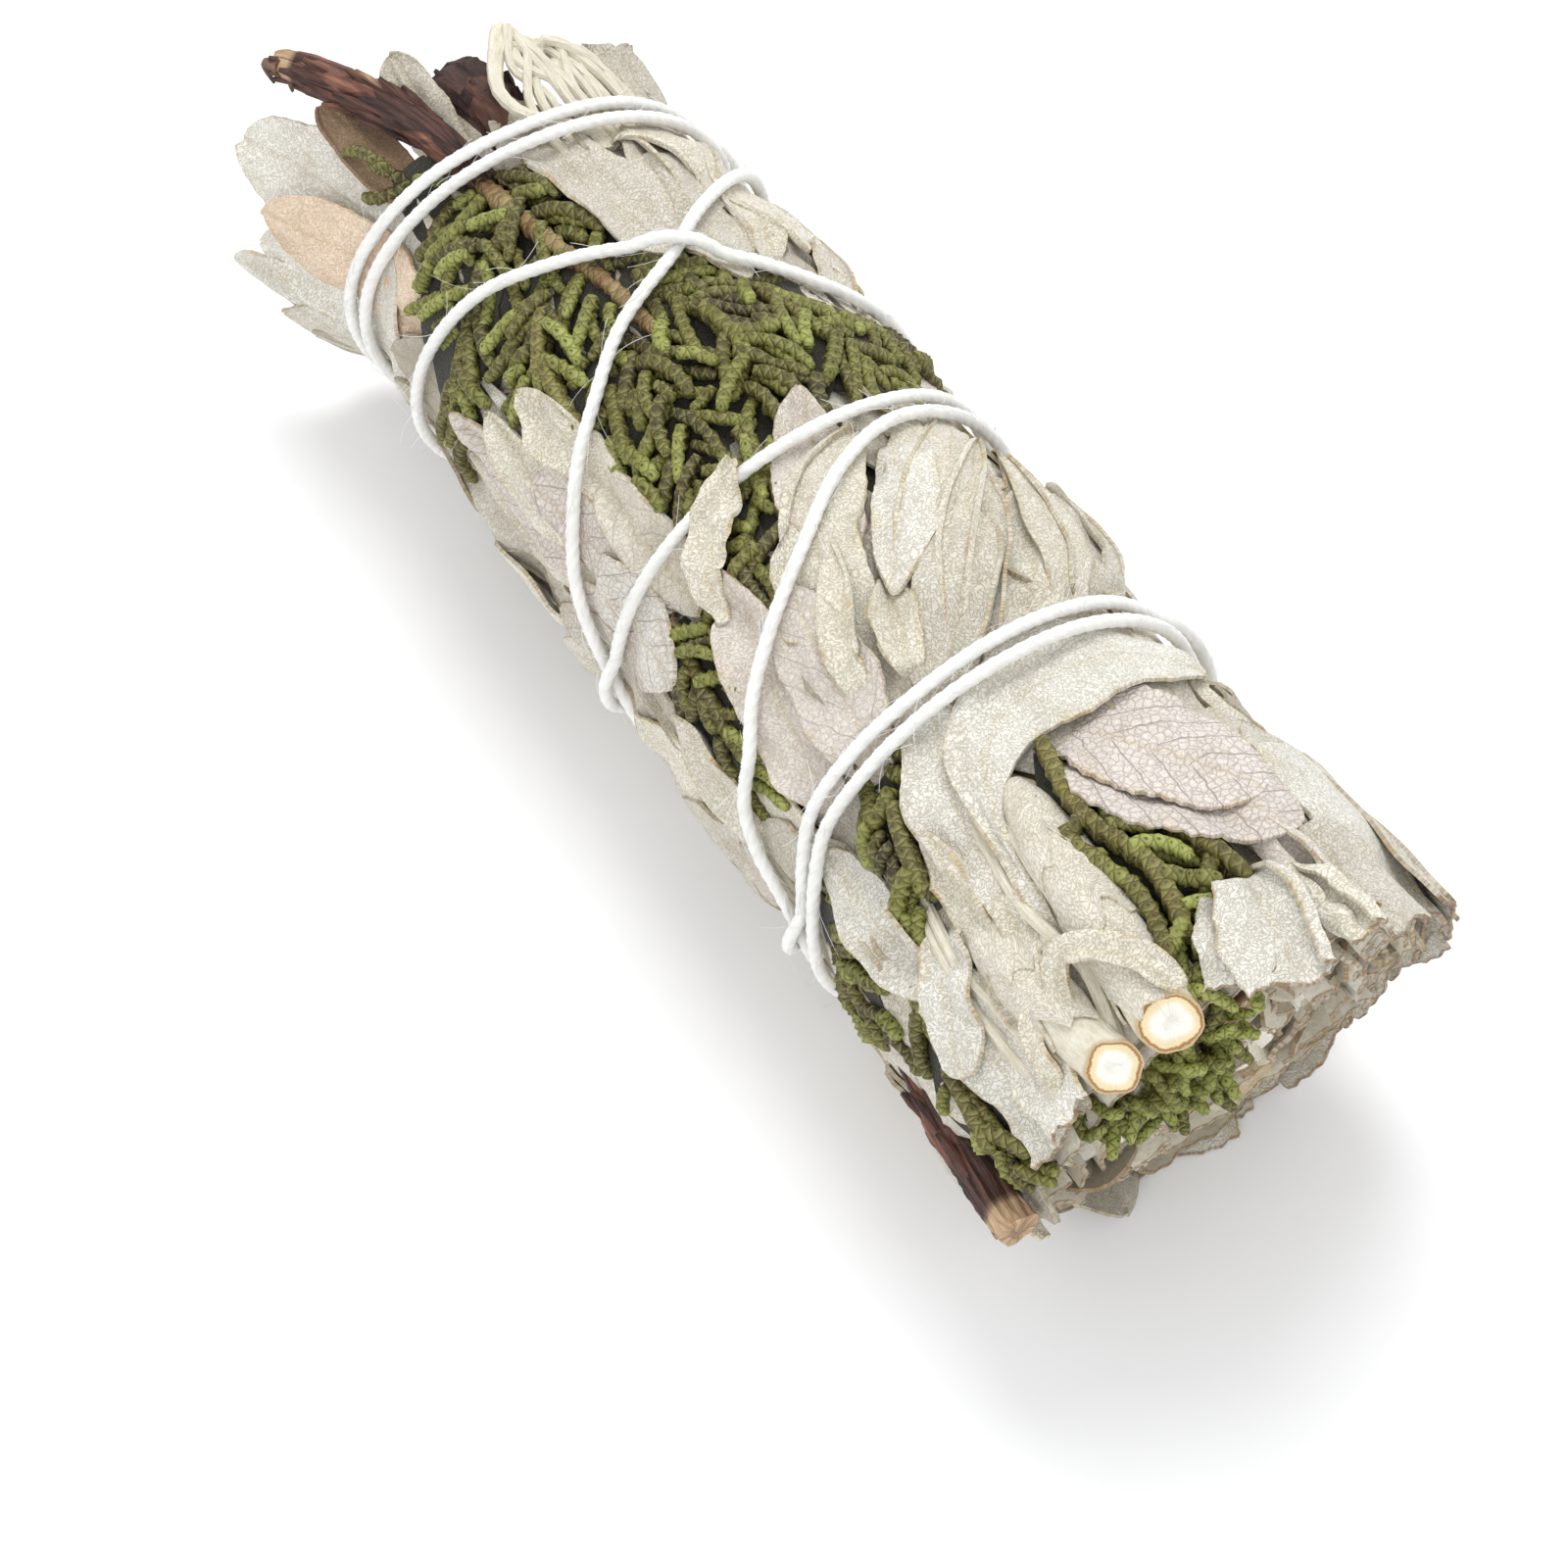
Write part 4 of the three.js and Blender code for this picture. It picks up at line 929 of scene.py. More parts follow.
topLeaves = [
    # the far end, right of the juniper
    leaf([(-42, -56), (-34, -57), (-24, -58)], 7, "pale", lift=1.2),
    leaf([(-46, -24), (-36, -22), (-24, -19)], 8, "silver"),
    leaf([(-50, -20), (-43, -28), (-36, -40)], 6, "cream", fold=(40, 0)),
    leaf([(-44, -42), (-36, -42), (-26, -43)], 6.5, "cream", lift=1.4, curl=(120, 0), curlFrom=0.3),
    leaf([(-54, -2), (-43, -3), (-30, -8)], 9.5, "silver", "broad", cup=4, lift=0.3),
    # left of the juniper
    leaf([(-6, 100), (-16, 102), (-27, 103)], 7.5, "cream", lift=1.8, fold=(30, 0)),
    leaf([(-9, 76), (-20, 74), (-35, 72)], 6, "rose", veined=0.9),
    leaf([(-11, 66), (-20, 66), (-31, 64)], 6.5, "cream", curl=(80, 60), curlFrom=0.35, curlAt=(0.7, 1.0)),
    leaf([(-12, 50), (-19, 50), (-28, 50)], 6.5, "cream", "broad", lift=0.8, curl=(90, 30), curlAt=(0.55, 1.0)),
    leaf([(-26, 62), (-14, 63), (-1, 59)], 6, "rose", veined=1.0, curl=(0, 0), creases=1),
    leaf([(-18, 47), (-8, 51), (2.5, 50)], 7.5, "cream", veined=0.6, creases=1),
    leaf([(-14, 84), (-6, 78), (3, 73)], 8.5, "rose", veined=1.0, curl=(0, 40)),
    leaf([(-13, 72), (-4, 69), (5, 66)], 8.5, "pale", "broad", veined=0.9, wave=0.3, curl=(0, 0)),
    leaf([(4, 100), (-5, 100), (-14, 106)], 9, "silver", lift=1.5, curl=(0, 60)),
    leaf([(6, 92), (-3, 91), (-14, 90)], 8, "silver", veined=0.8),
    leaf([(4, 108), (14, 112), (27, 114)], 8, "stone", lift=1.8, veined=0.9),
    leaf([(18, 92), (10, 92), (-1, 96)], 7.5, "cream", lift=1),
    leaf([(22, 84), (14, 80), (6, 74)], 6, "cream", curl=(60, 0)),
    leaf([(26, 96), (18, 100), (8, 104)], 8, "silver", veined=0.5),
    # the middle, between the strands
    leaf([(22, 6), (12, -12), (-1, -40)], 8.5, "silver", curl=(0, 40)),
    leaf([(26, -40), (14, -52), (0, -62)], 9, "stone", curl=(40, 0)),
    leaf([(24, -36), (18, -44), (10, -52)], 7, "silver", lift=1.2),
    leaf([(28, -22), (16, -36), (4, -50)], 7, "cream", curl=(70, 0)),
    leaf([(27, -6), (20, -20), (10, -38)], 8, "cream", curl=(70, 0)),
    leaf([(22, 2), (8, -12), (-4, -32)], 6, "cream", fold=(40, 0)),
    leaf([(10, 14), (1, 6), (-9, -6)], 8.5, "rose", veined=0.3, gap=1.0, curl=(0, 0), cup=8, creases=1),
    leaf([(21, 14), (9, -9), (-3, -46)], 6, "cream", curl=(0, 110), curlFrom=0.3),
    leaf([(15, 2), (6, -19), (-4, -48)], 4.8, "silver", fold=(30, 0), curl=(0, 0)),
    leaf([(29, 8), (19, -6), (8, -30)], 7, "silver", curl=(110, 40), curlFrom=0.35, creases=2, lift=0.6),
    leaf([(23, 7), (13, -11), (3, -38)], 5, "cream", curl=(130, 120), curlFrom=0.2, curlAt=(0.1, 1.0), creases=1,
         gap=0.8),
    leaf([(28, 22), (20, 3), (12.5, -20)], 8.5, "silver", curl=(120, 0), curlFrom=0.5, curlAt=(0.3, 1.0), creases=2),
    leaf([(25, 29), (13, 23), (5, 16), (0, 2), (-3.5, -15)], 9.5, "cream", curl=(0, 120), curlFrom=0.25,
         curlAt=(0.6, 1.0), creases=2),
    leaf([(23, 20), (17, 14), (12.5, 9)], 5, "cream", fold=(0, 40), curl=(0, 0), gap=0.3),
    leaf([(-2.5, -23), (6, -10), (15, 9.5)], 6, "pale", cup=14, lift=0.4, curl=(0, 0), creases=1),
    leaf([(28, 60), (16, 52), (2, 38)], 8, "rose", veined=0.3),
    leaf([(29, 42), (18, 35), (7, 29)], 9.5, "rose", veined=0.6, curl=(20, 0), creases=1),
    leaf([(49, 40), (42, 36), (34, 31), (24, 20)], 8, "pale", "stalked", curl=(0, 70), curlFrom=0.4, creases=1),
    # rolled leaves stand among them
    leaf([(25, -24), (15, -34), (5, -44)], 5.5, "cream", curl=(130, 90), curlFrom=0.2, curlAt=(0.2, 1.0), lift=0.6),
    leaf([(24, -48), (15, -58), (6, -66)], 6, "silver", curl=(110, 110), curlFrom=0.25, curlAt=(0.3, 1.0), lift=0.8),
    leaf([(22, 34), (14, 24), (7, 14)], 4.5, "cream", curl=(120, 60), curlFrom=0.2, curlAt=(0.3, 1.0)),
    leaf([(-14, -44), (-22, -50), (-30, -58)], 6, "silver", curl=(110, 60), curlFrom=0.25, curlAt=(0.2, 1.0),
         lift=0.8),
    leaf([(-24, -30), (-32, -36), (-41, -42)], 5.5, "cream", curl=(60, 120), curlFrom=0.25, curlAt=(0.3, 1.0),
         lift=0.8),
    # the cut end
    leaf([(50, 62), (40, 65), (27, 68)], 6, "pale", "stalked", curl=(0, 70), creases=1),
    leaf([(42, 58), (52, 60), (62.5, 61)], 8, "pale", "cutOff", cup=10),
    leaf([(40, -76), (52, -78), (62, -79)], 12, "silver", "cutOff", curl=(60, 0), lift=0.4),
    leaf([(40, -34), (52, -36), (63, -38)], 10, "silver", "cutOff", curl=(0, 0), lift=0.3),
    leaf([(40, -50), (52, -52), (63.5, -55)], 17, "pale", "cutOff", curl=(0, 0), cup=4, lift=0.5, creases=1,
         wave=0.5),
    leaf([(51, -19), (57.5, -22), (64, -25)], 7.5, "rose", "cutOff", curl=(200, 170), curlFrom=0.1, sink=False,
         creases=0, veined=0.4),
    leaf([(42, 34), (49, 37), (56, 40)], 3.2, "cream", "strap", cup=40, curl=(0, 0), creases=0, gap=0.8),
    leaf([(57, 53), (50, 49), (43, 44), (35, 40)], 3.4, "cream", "stalked", curl=(60, 60), creases=1),
    leaf([(35, 2), (44, -10), (54, -28)], 11.5, "blush", "broad", veined=1.0, crenate=0.024, gap=0.9, curl=(0, 0),
         creases=0, cup=5),
    leaf([(33, -3), (41, -14), (49.5, -27)], 12, "blush", "broad", veined=1.0, crenate=0.022, gap=0.7, curl=(0, 0),
         creases=0, cup=5, bright=1.03),
    leaf([(40.5, 50), (46, 58), (53, 67)], 5, "pale", "strap", lift=0.5, cup=20, gap=0.8, curl=(0, 0)),
    leaf([(53, 37), (49, 31.5), (43, 28), (37, 25), (31.5, 16), (29, 2), (29.5, -22), (35, -44)], 11.8, "pale",
         "band", gap=0.8, curl=(0, 60), curlAt=(0.5, 1.0), creases=1, cup=12),
]

# Leaf ends between the sprigs at the cut end.
endLeaves = [
    leaf([(54, -30), (60, -33), (66, -36)], 9, "silver", "cutOff", curl=(60, 0), sink=False, lift=0.4),
    leaf([(55.5, -4), (60, 2), (64.5, 8)], 6.5, "pale", "cutOff", fold=(0, 20), cup=20, curl=(0, 0), creases=0),
    leaf([(54, -10), (60.5, -7), (67.3, -2)], 11, "pale", "cutOff", fold=(6, 42), cup=22, lift=0.2, curl=(0, 120),
         curlFrom=0.6, creases=1),
    leaf([(57, -19), (61.5, -20), (66, -21)], 6.5, "cream", "cutOff", curl=(220, 180), curlFrom=0.05, sink=False,
         creases=0, lift=0.3),
]


def footprintMap(leaves, inset):  # where the leaves of the top layer lie, so that no sprig pokes through them
    field = emptyMap(0.0)
    for leaf in leaves:
        line = pathThrough(leaf["path"], 40)
        for i, (x, arc, _) in enumerate(line):
            half = leaf["wide"] / 2 * leafWidth(i / 40, blades[leaf.get("blade", "plain")]["shape"]) - inset
            for away in np.arange(-half, half + 0.01, 0.5):
                step = (line[min(i + 1, 40)] - line[max(i - 1, 0)])[:2]
                step = step / np.linalg.norm(step)
                raiseMap(field, np.array([x + step[1] * away]), np.array([arc - step[0] * away]), 1.0)
    return field


underTop = footprintMap(topLeaves, 0.9)
keptClear = [  # nor through the two thick stems and the twig
    [(37, 18), (45, 19.5), (54, 22), (66, 25)],
    [(40, 47), (47, 45), (55, 42.5), (66, 39)],
    [(-70, 36), (-60, 26.5), (-51, 22)],
]
for way in keptClear:
    for x, arc, _ in pathThrough(way, 40):
        for away in np.arange(-2.5, 2.51, 0.5):
            raiseMap(underTop, np.array([x]), np.array([arc + away]), 1.0)

sprays = {
    "juniper_spray_main": dict(
        axes=[
            [(-49.5, 18), (-38, 17), (-28, 20), (-16, 22), (-4, 27)],
            [(-46, 18), (-52, 34), (-57, 44)],
            [(-44, 18), (-42, 40), (-38, 62), (-34, 78)],
            [(-38, 17), (-32, 34), (-25, 50)],
            [(-28, 20), (-20, 34), (-10, 42)],
            [(-36, 17), (-28, 5), (-18, -2), (-8, 4)],
            [(-16, 22), (-8, 12), (2, 18), (6, 28)],
            [(-48, 30), (-42, 52), (-36, 70)],
            [(-30, 10), (-20, 12), (-10, 18)],
            [(-24, 28), (-16, 30), (-6, 34), (4, 32)],
            [(-34, 26), (-28, 40), (-18, 48)],
            [(-44, 6), (-36, 6), (-24, 12)],
        ],
        every=1.7, long=7.5, seed=31, rounds=6,
        wood=[(-51, 23, 0.2), (-46, 21.5, 0.3), (-40, 19, 0.3), (-34, 15, 0.2), (-28, 13, 0.0), (-23, 12, 0.0)],
    ),
    "juniper_spray_right": dict(
        axes=[
            [(-29, -12), (-21, -20), (-13, -26), (-7, -34)],
            [(-20, -21), (-16, -40), (-9, -52)],
            [(-26, -8), (-16, -10), (-8, -14)],
        ],
        every=1.7, long=7, seed=5, rounds=5,
    ),
    "juniper_spray_left": dict(axes=[[(0, 59), (8, 62), (17, 70)], [(2, 54), (9, 57), (15, 60)]], every=1.7, long=4.8,
                               seed=8, rounds=5),
    "juniper_spray_middle": dict(axes=[[(23.5, 34), (30, 41), (40, 50)], [(24, 37), (31, 45), (39, 51)]], every=1.8,
                                 long=4.5, seed=9, rounds=4),
    "juniper_spray_edge": dict(axes=[[(28, 80), (36, 84), (43, 90)]], every=1.7, long=4.8, seed=11, rounds=5),
    "juniper_spray_cut_end": dict(
        axes=[
            [(35, 6), (43, 10), (51, 6), (57, 9), (62, 12)],
            [(41, 3), (47, -3), (52, -7), (56, -10)],
            [(46, 4), (51, 3), (56, -2)],
            [(38, 14), (46, 12), (54, 8), (61, 4)],
        ],
        every=1.7, long=5, seed=13, rounds=5, fresh=0.22,
    ),
    "juniper_spray_stem_side": dict(axes=[[(43, 67), (50, 71), (58, 76), (63, 78)]], every=2.2, long=4.2, seed=17,
                                    rounds=2),
}


def bendRod(blank, centre, radii, outward=None, columns=4, offset=0.0, scaly=0.0, tipOut=0.0):
    made = copyOf(blank)
    ring, co = blank["ring"], blank["co"]
    tangent = unit(np.gradient(centre, axis=0))
    if outward is None:
        outward = np.stack([centre[:, 0] * 0, centre[:, 1], centre[:, 2] - bundle["axisHeight"] * mm], axis=1)
    side = unit(np.cross(tangent, outward), 1e-12)
    up = np.cross(side, tangent)
    r = np.asarray(radii)[ring] * mm
    # scales stand in pairs, each pair a quarter turn on from the one before
    pairs = np.cos(2 * np.arctan2(co[:, 1], co[:, 0])) * np.where(ring % 2, -1, 1)
    r = r * (1 + scaly * pairs + scaly * 0.4 * np.sin(ring * 2.4 + offset))
    spot = centre[ring] + side[ring] * co[:, :1] * r[:, None] + up[ring] * co[:, 1:2] * r[:, None]
    rounded = (np.hypot(co[:, 0], co[:, 1]) < 0.01) & (co[:, 2] > 0.99)
    moveTo(made, spot + tangent[ring] * (rounded * tipOut * mm)[:, None])
    run = blank["z"] * lengthOf(centre) + offset
    mapCorners(made.data, "sprigMap", np.stack([blank["turns"] * columns, run], axis=1))
    return made


taken = [emptyMap(0.0), emptyMap(0.0)]  # where the sprigs of the lower and the upper layer lie


def laySprig(line, radius, woody, livelyAndShade, layer=0, over=False, share=0.3):
    x, arc, extra = line.T
    if not over and (readMap(taken[layer], x, arc)[3:] > 0.4).mean() > share:
        return None
    ground = readMap(pile, x, arc)
    cover = ground
    for _ in range(8):
        p = np.pad(cover, 1, mode="edge")
        cover = np.maximum(ground - 0.3, (p[:-2] + p[2:] + cover) / 3)
    if over:
        height = extra
    else:
        need = cover + radius * 1.9 + extra
        height = pressed(need, x, arc)
        if (need - height).mean() > 1.15 and share < 1:
            return None
        height = height - radius
    t = np.linspace(0, 1, len(line))
    radii = radius * np.interp(t, [0, 0.1, 0.7, 0.9, 1], [0.85, 1, 1, 0.94, 0.66])
    offset = round(x[0] * 7) % 5 * 2.6
    made = bendRod(sprig, onBundle(x, arc, height), radii, scaly=0.18, tipOut=radius * 0.4, offset=offset)
    if not over:
        across = unit(np.stack([-np.gradient(arc), np.gradient(x)], axis=1))
        for away in (-1.7, -1.2, -0.7, -0.35, 0, 0.35, 0.7, 1.2, 1.7):
            top = cover + radius * (1 + math.sqrt(max(0, 1 - away**2))) + extra
            for part in (0, 0.5):
                px = x + across[:, 0] * away * radius
                pa = arc + across[:, 1] * away * radius
                px, pa = px[:-1] + np.diff(px) * part, pa[:-1] + np.diff(pa) * part
                raiseMap(taken[layer], px, pa, 1.0)
                if abs(away) < 1:
                    raiseMap(pile, px, pa, top[:-1] - 0.2)
    paint(made.data, "woody", woody)
    # tips lighter as they grow; the lower layer painted darker and the upper lighter: painted shade
    lighter = 0.16 * rise(sprig["co"][:, 2], 0.5, 1.0)
    paint(made.data, "livelyAndShade", np.clip(livelyAndShade + (0.1 if layer else -0.06) + lighter, 0, 1.3))
    return made


axisPiece = 7.5  # an axis is laid in lengths of this, and each runs 1 mm on over the next


def growSpray(axes, every, long, seed, rounds, wood=(), fresh=0.0, layer=0):
    draw = random.Random(seed + layer * 100)
    sprigs = []
    segments = sprig["segments"]

    def shoot(x, arc, leaving, turning, reach, radius, livelyAndShade, lean):
        u = np.linspace(0, 1, segments + 1)
        angle = leaving + turning * u
        dx = np.concatenate([[0], np.cumsum(np.cos(angle[:-1]))]) * reach / segments
        da = np.concatenate([[0], np.cumsum(np.sin(angle[:-1]))]) * reach / segments
        spot = np.stack([x + dx, arc + da, lean * np.sin(u * 2.6)], axis=1)
        if readMap(underTop, spot[4:, 0], spot[4:, 1]).max() >= 0.5:
            return None
        made = laySprig(spot, radius, draw.uniform(0, 0.1), livelyAndShade + fresh, layer)
        sprigs.append(made)
        return (spot, angle) if made else None

    def axisPart(whole, a, b):
        return whole[np.linspace(a, b, segments + 1).astype(int)]

    if wood and not layer:  # the bare woody axis, which nothing may cover
        whole = pathThrough(wood, 90)
        count = round(pathLength(wood) / 7)
        for k in range(count):
            part = axisPart(whole, 90 * k // count, 90 * (k + 1) // count)
            part[:, 2] += 0.5
            sprigs.append(laySprig(part, 1.1 * (1 - 0.25 * k / count), 1.0, 0.4, share=1.0))
            for aside in (-1.2, -0.6, 0, 0.6, 1.2):
                raiseMap(taken[1], part[:, 0], part[:, 1] + aside, 1.0)
    for lap in range(rounds):
        for axis in axes:
            shift = (draw.uniform(-2.5, 2.5), draw.uniform(-7, 7)) if lap else (0, 0)
            moved = [(x + shift[0], around + shift[1]) for x, around in axis]
            length = pathLength(moved)
            if lap == 0 or draw.random() < 0.35:
                whole = pathThrough(moved, 90)
                for k in range(max(1, int(length / axisPiece))):
                    a = int(90 * k * axisPiece / length)
                    b = min(90, int(90 * (k * axisPiece + axisPiece + 1) / length))
                    part = axisPart(whole, a, b)
                    if b - a > 20 and readMap(underTop, part[:, 0], part[:, 1]).mean() < 0.5:
                        looks = draw.uniform(0.74, 0.86), draw.uniform(0.0, 0.35), draw.uniform(0.3, 0.6)
                        sprigs.append(laySprig(part, *looks, layer))
            steps = max(4, int(length / every))
            line = pathThrough(moved, steps)
            for i in range(1, steps):
                heading = math.atan2(line[i + 1, 1] - line[i - 1, 1], line[i + 1, 0] - line[i - 1, 0])
                sign = 1 if (i + lap) % 2 else -1
                reach = long * draw.uniform(0.55, 1.15)
                leaving = heading + sign * draw.uniform(0.6, 1.35)
                turning = -sign * draw.uniform(-0.3, 1.3)
                for part in (1, 0.7, 0.5):
                    looks = draw.uniform(0.6, 0.84), draw.uniform(0.15, 0.8), draw.uniform(-0.1, 0.9)
                    laid = shoot(line[i, 0], line[i, 1], leaving, turning, reach * part, *looks)
                    if not laid:
                        continue
                    spot, angle = laid
                    for at in (4, 7):  # short side shoots
                        if draw.random() < 0.55 and reach * part > 4:
                            way = angle[at] + draw.choice([-1, 1]) * draw.uniform(0.6, 1.0)
                            bend, grown = draw.uniform(-0.5, 0.5), draw.uniform(1.8, 3.2)
                            looks = draw.uniform(0.6, 0.7), draw.uniform(0.45, 0.85), 0.25
                            shoot(spot[at, 0], spot[at, 1], way, bend, grown, *looks)
                    break
    return [s for s in sprigs if s]


hangingTips = 76


def endSprigs():  # the tips of the last spray hang out over the cut end
    draw = random.Random(91)
    laid = []
    for _ in range(hangingTips):
        around, deep = draw.uniform(9, 60), -1.0 - 10.5 * draw.random() ** 1.3
        if 12 < around < 52:  # clear of the two thick stems
            deep -= 2.6
        start = (draw.uniform(58.5, 61), around, deep)
        middle = (draw.uniform(61.5, 63.5), around + draw.uniform(-5, 5), deep - draw.uniform(-0.5, 1.5))
        end = (draw.uniform(62.8, 66), around + draw.uniform(-12, 12), deep - draw.uniform(-1.5, 3.5))
        line = pathThrough([start, middle, end], sprig["segments"])
        laid.append(laySprig(line, draw.uniform(0.5, 0.7), 0.0, draw.uniform(0.4, 1.15), over=True))
    return laid


def shadeUnderSprigs():  # dark sheets laid under the sprays: painted shade between the sprigs
    lines = [(axis, 12 if spray["long"] > 6 else 8) for spray in sprays.values() for axis in spray["axes"]]
    plain = dict(tone="paintedShade", lift=0, gap=0.12, curl=(0, 0), creases=0, cup=0, wave=0.1, sink=False)
    return [layLeaf(axis, wide, seed=700 + i, **plain) for i, (axis, wide) in enumerate(lines)]


underLeaves += litter(17, 60, enough=1.7, reach=(-50, 56), grown=(14, 22), widths=(8, 12), around=(76, 132))
underLeaves += litter(18, 75, enough=1.8, reach=(-52, 56), grown=(14, 22), widths=(8, 12), around=(262, 330))
underLeaves += shadeUnderSprigs()

print("stage: juniper")
for node, spray in sprays.items():
    sprigs = growSpray(**spray) + growSpray(**spray, layer=1)
    if node == "juniper_spray_cut_end":
        sprigs += endSprigs()
    makePiece(node.replace("juniper_", "green_"), sprigs, juniperScale, [node], angle=60)

print("stage: upper leaves")
seenLeaves += [layLeaf(seed=400 + i, **row) for i, row in enumerate(topLeaves)]
seenLeaves += [layLeaf(seed=480 + i, **row) for i, row in enumerate(endLeaves)]

# The one leaf that lies over the twine.
for (x, arc, _), hump in zip(twineTrack, humps):
    raiseMap(pile, np.array([x, x]), np.array([arc - 0.3, arc + 0.3]), twine["height"] + twine["radius"] + hump)
overLeaf = leaf([(5.5, 45, 0), (1.4, 42, 0), (-2.3, 32, 0), (-6, 19, 0.4)], 5.0, "cream", over=True, cup=10, gap=0.6,
                lift=0.3, twist=-20, sink=False, grows=False)
seenLeaves.append(layLeaf(seed=900, **overLeaf))

overStems = [
    leaf([(57, 39, 2.4), (54, 37, 3.6), (52.5, 32, 4.7), (54, 26, 5.4), (57.5, 20.5, 5.3), (62, 17.5, 4.4)], 2.4,
         "cream", "strap", cup=24),
    leaf([(51, 55, 1.0), (57, 55, 1.8), (62.5, 54, 2.2)], 6, "pale", "cutOff", cup=18),
    leaf([(46, 36, 0.8), (53, 42, 3.4), (56, 49, 3.2), (60, 52, 2.0)], 2.2, "cream", "strap", cup=24),
]
flatPile, pile = pile, emptyMap(0.0)
loose = dict(over=True, sink=False, grows=False, gap=0.0, curl=(0, 0), creases=0)
seenLeaves += [layLeaf(seed=950 + i, **loose, **row) for i, row in enumerate(overStems)]
pile = flatPile

makePiece("sage_seen_leaves", seenLeaves, leafFelt, ["sage_leaves"], wall=0.38)


print("stage: far side leaves")


def farLeaves():
    draw = random.Random(7)
    kinds = ("silver", "cream", "pale", "stone", "rose", "straw", "silver")
    laid = []
    for layer in range(3):
        for row in range(6):
            for k in range(7):
                root = min(-36 + row * 18.5 + draw.uniform(-5, 5) + layer * 3, 56.5)
                around = 128 + k * 22 + (row % 2) * 11 + draw.uniform(-6, 6)
                length = draw.uniform(18, 30)
                turn = draw.uniform(-14, 14)
                path = [(root, around), (root - length / 2, around + turn / 2), (root - length, around + turn)]
                if root - length < -72:
                    continue
                roll = draw.random()
                much = draw.uniform(30, 110) if roll < 0.5 else 0
                curl = (much, 0) if roll < 0.25 else (0, much)
                laid.append(layLeaf(path, draw.uniform(7, 12.5), blade=draw.choice(["plain", "plain", "blunt"]),
                                    lift=draw.uniform(0.2, 1.2), curl=curl, wave=draw.uniform(0.1, 0.4), gap=0.36,
                                    tone=draw.choice(kinds), veined=draw.choice([0, 0.1, 0.3, 0.8]),
                                    seed=3000 + len(laid)))
    return laid


makePiece("sage_far_leaves", farLeaves() + underLeaves, leafFelt, ["sage_leaves"], lean=True, wall=0.36)


print("stage: leaf tips of the open end")


def openTips():
    draw = random.Random(23)
    laid = []
    for ring, (depth, count) in enumerate([(-2.5, 15), (-5.5, 13), (-9, 10), (-12.5, 6)]):
        for k in range(count):
            around = k * 360 / count + draw.uniform(-9, 9) + ring * 11
            if ring < 3 and (around + 30) % 360 < 66:
                continue
            end = draw.uniform(-65, -58) + ring * 0.8
            path = [(-44, around, depth), (-53, around + draw.uniform(-8, 8), depth),
                    (end, around + draw.uniform(-20, 20), depth + draw.uniform(-1.2, 1.2))]
            laid.append(layLeaf(path, draw.uniform(6.5, 10.5), blade=draw.choice(["plain", "blunt"]), over=True,
                                sink=False, cup=draw.uniform(5, 40), curl=(draw.uniform(0, 70), draw.uniform(0, 70)),
                                wave=0.5, tone=draw.choice(("silver", "stone", "shade", "cream")), stiff=2, gap=-2.2,
                                veined=0.3, grows=False, seed=5000 + len(laid) + ring * 50))
    return laid


makePiece("sage_leaf_tips", openTips(), leafFelt, ["sage_leaves"], wall=0.36)


print("stage: cut edges of the packed leaves")
endFace = {
    "from": 54.0,
    "reach": (60.0, 62.8),
    "rings": [3.4, 5.0, 6.6, 8.2, 9.8, 11.4, 12.9, 14.3, 15.6, 16.9, 18.1, 19.2, 20.3],
    "scrolls": 22,
    "faces": 56,
    "kinds": ("silver", "stone", "cream", "pale", "shade"),
}


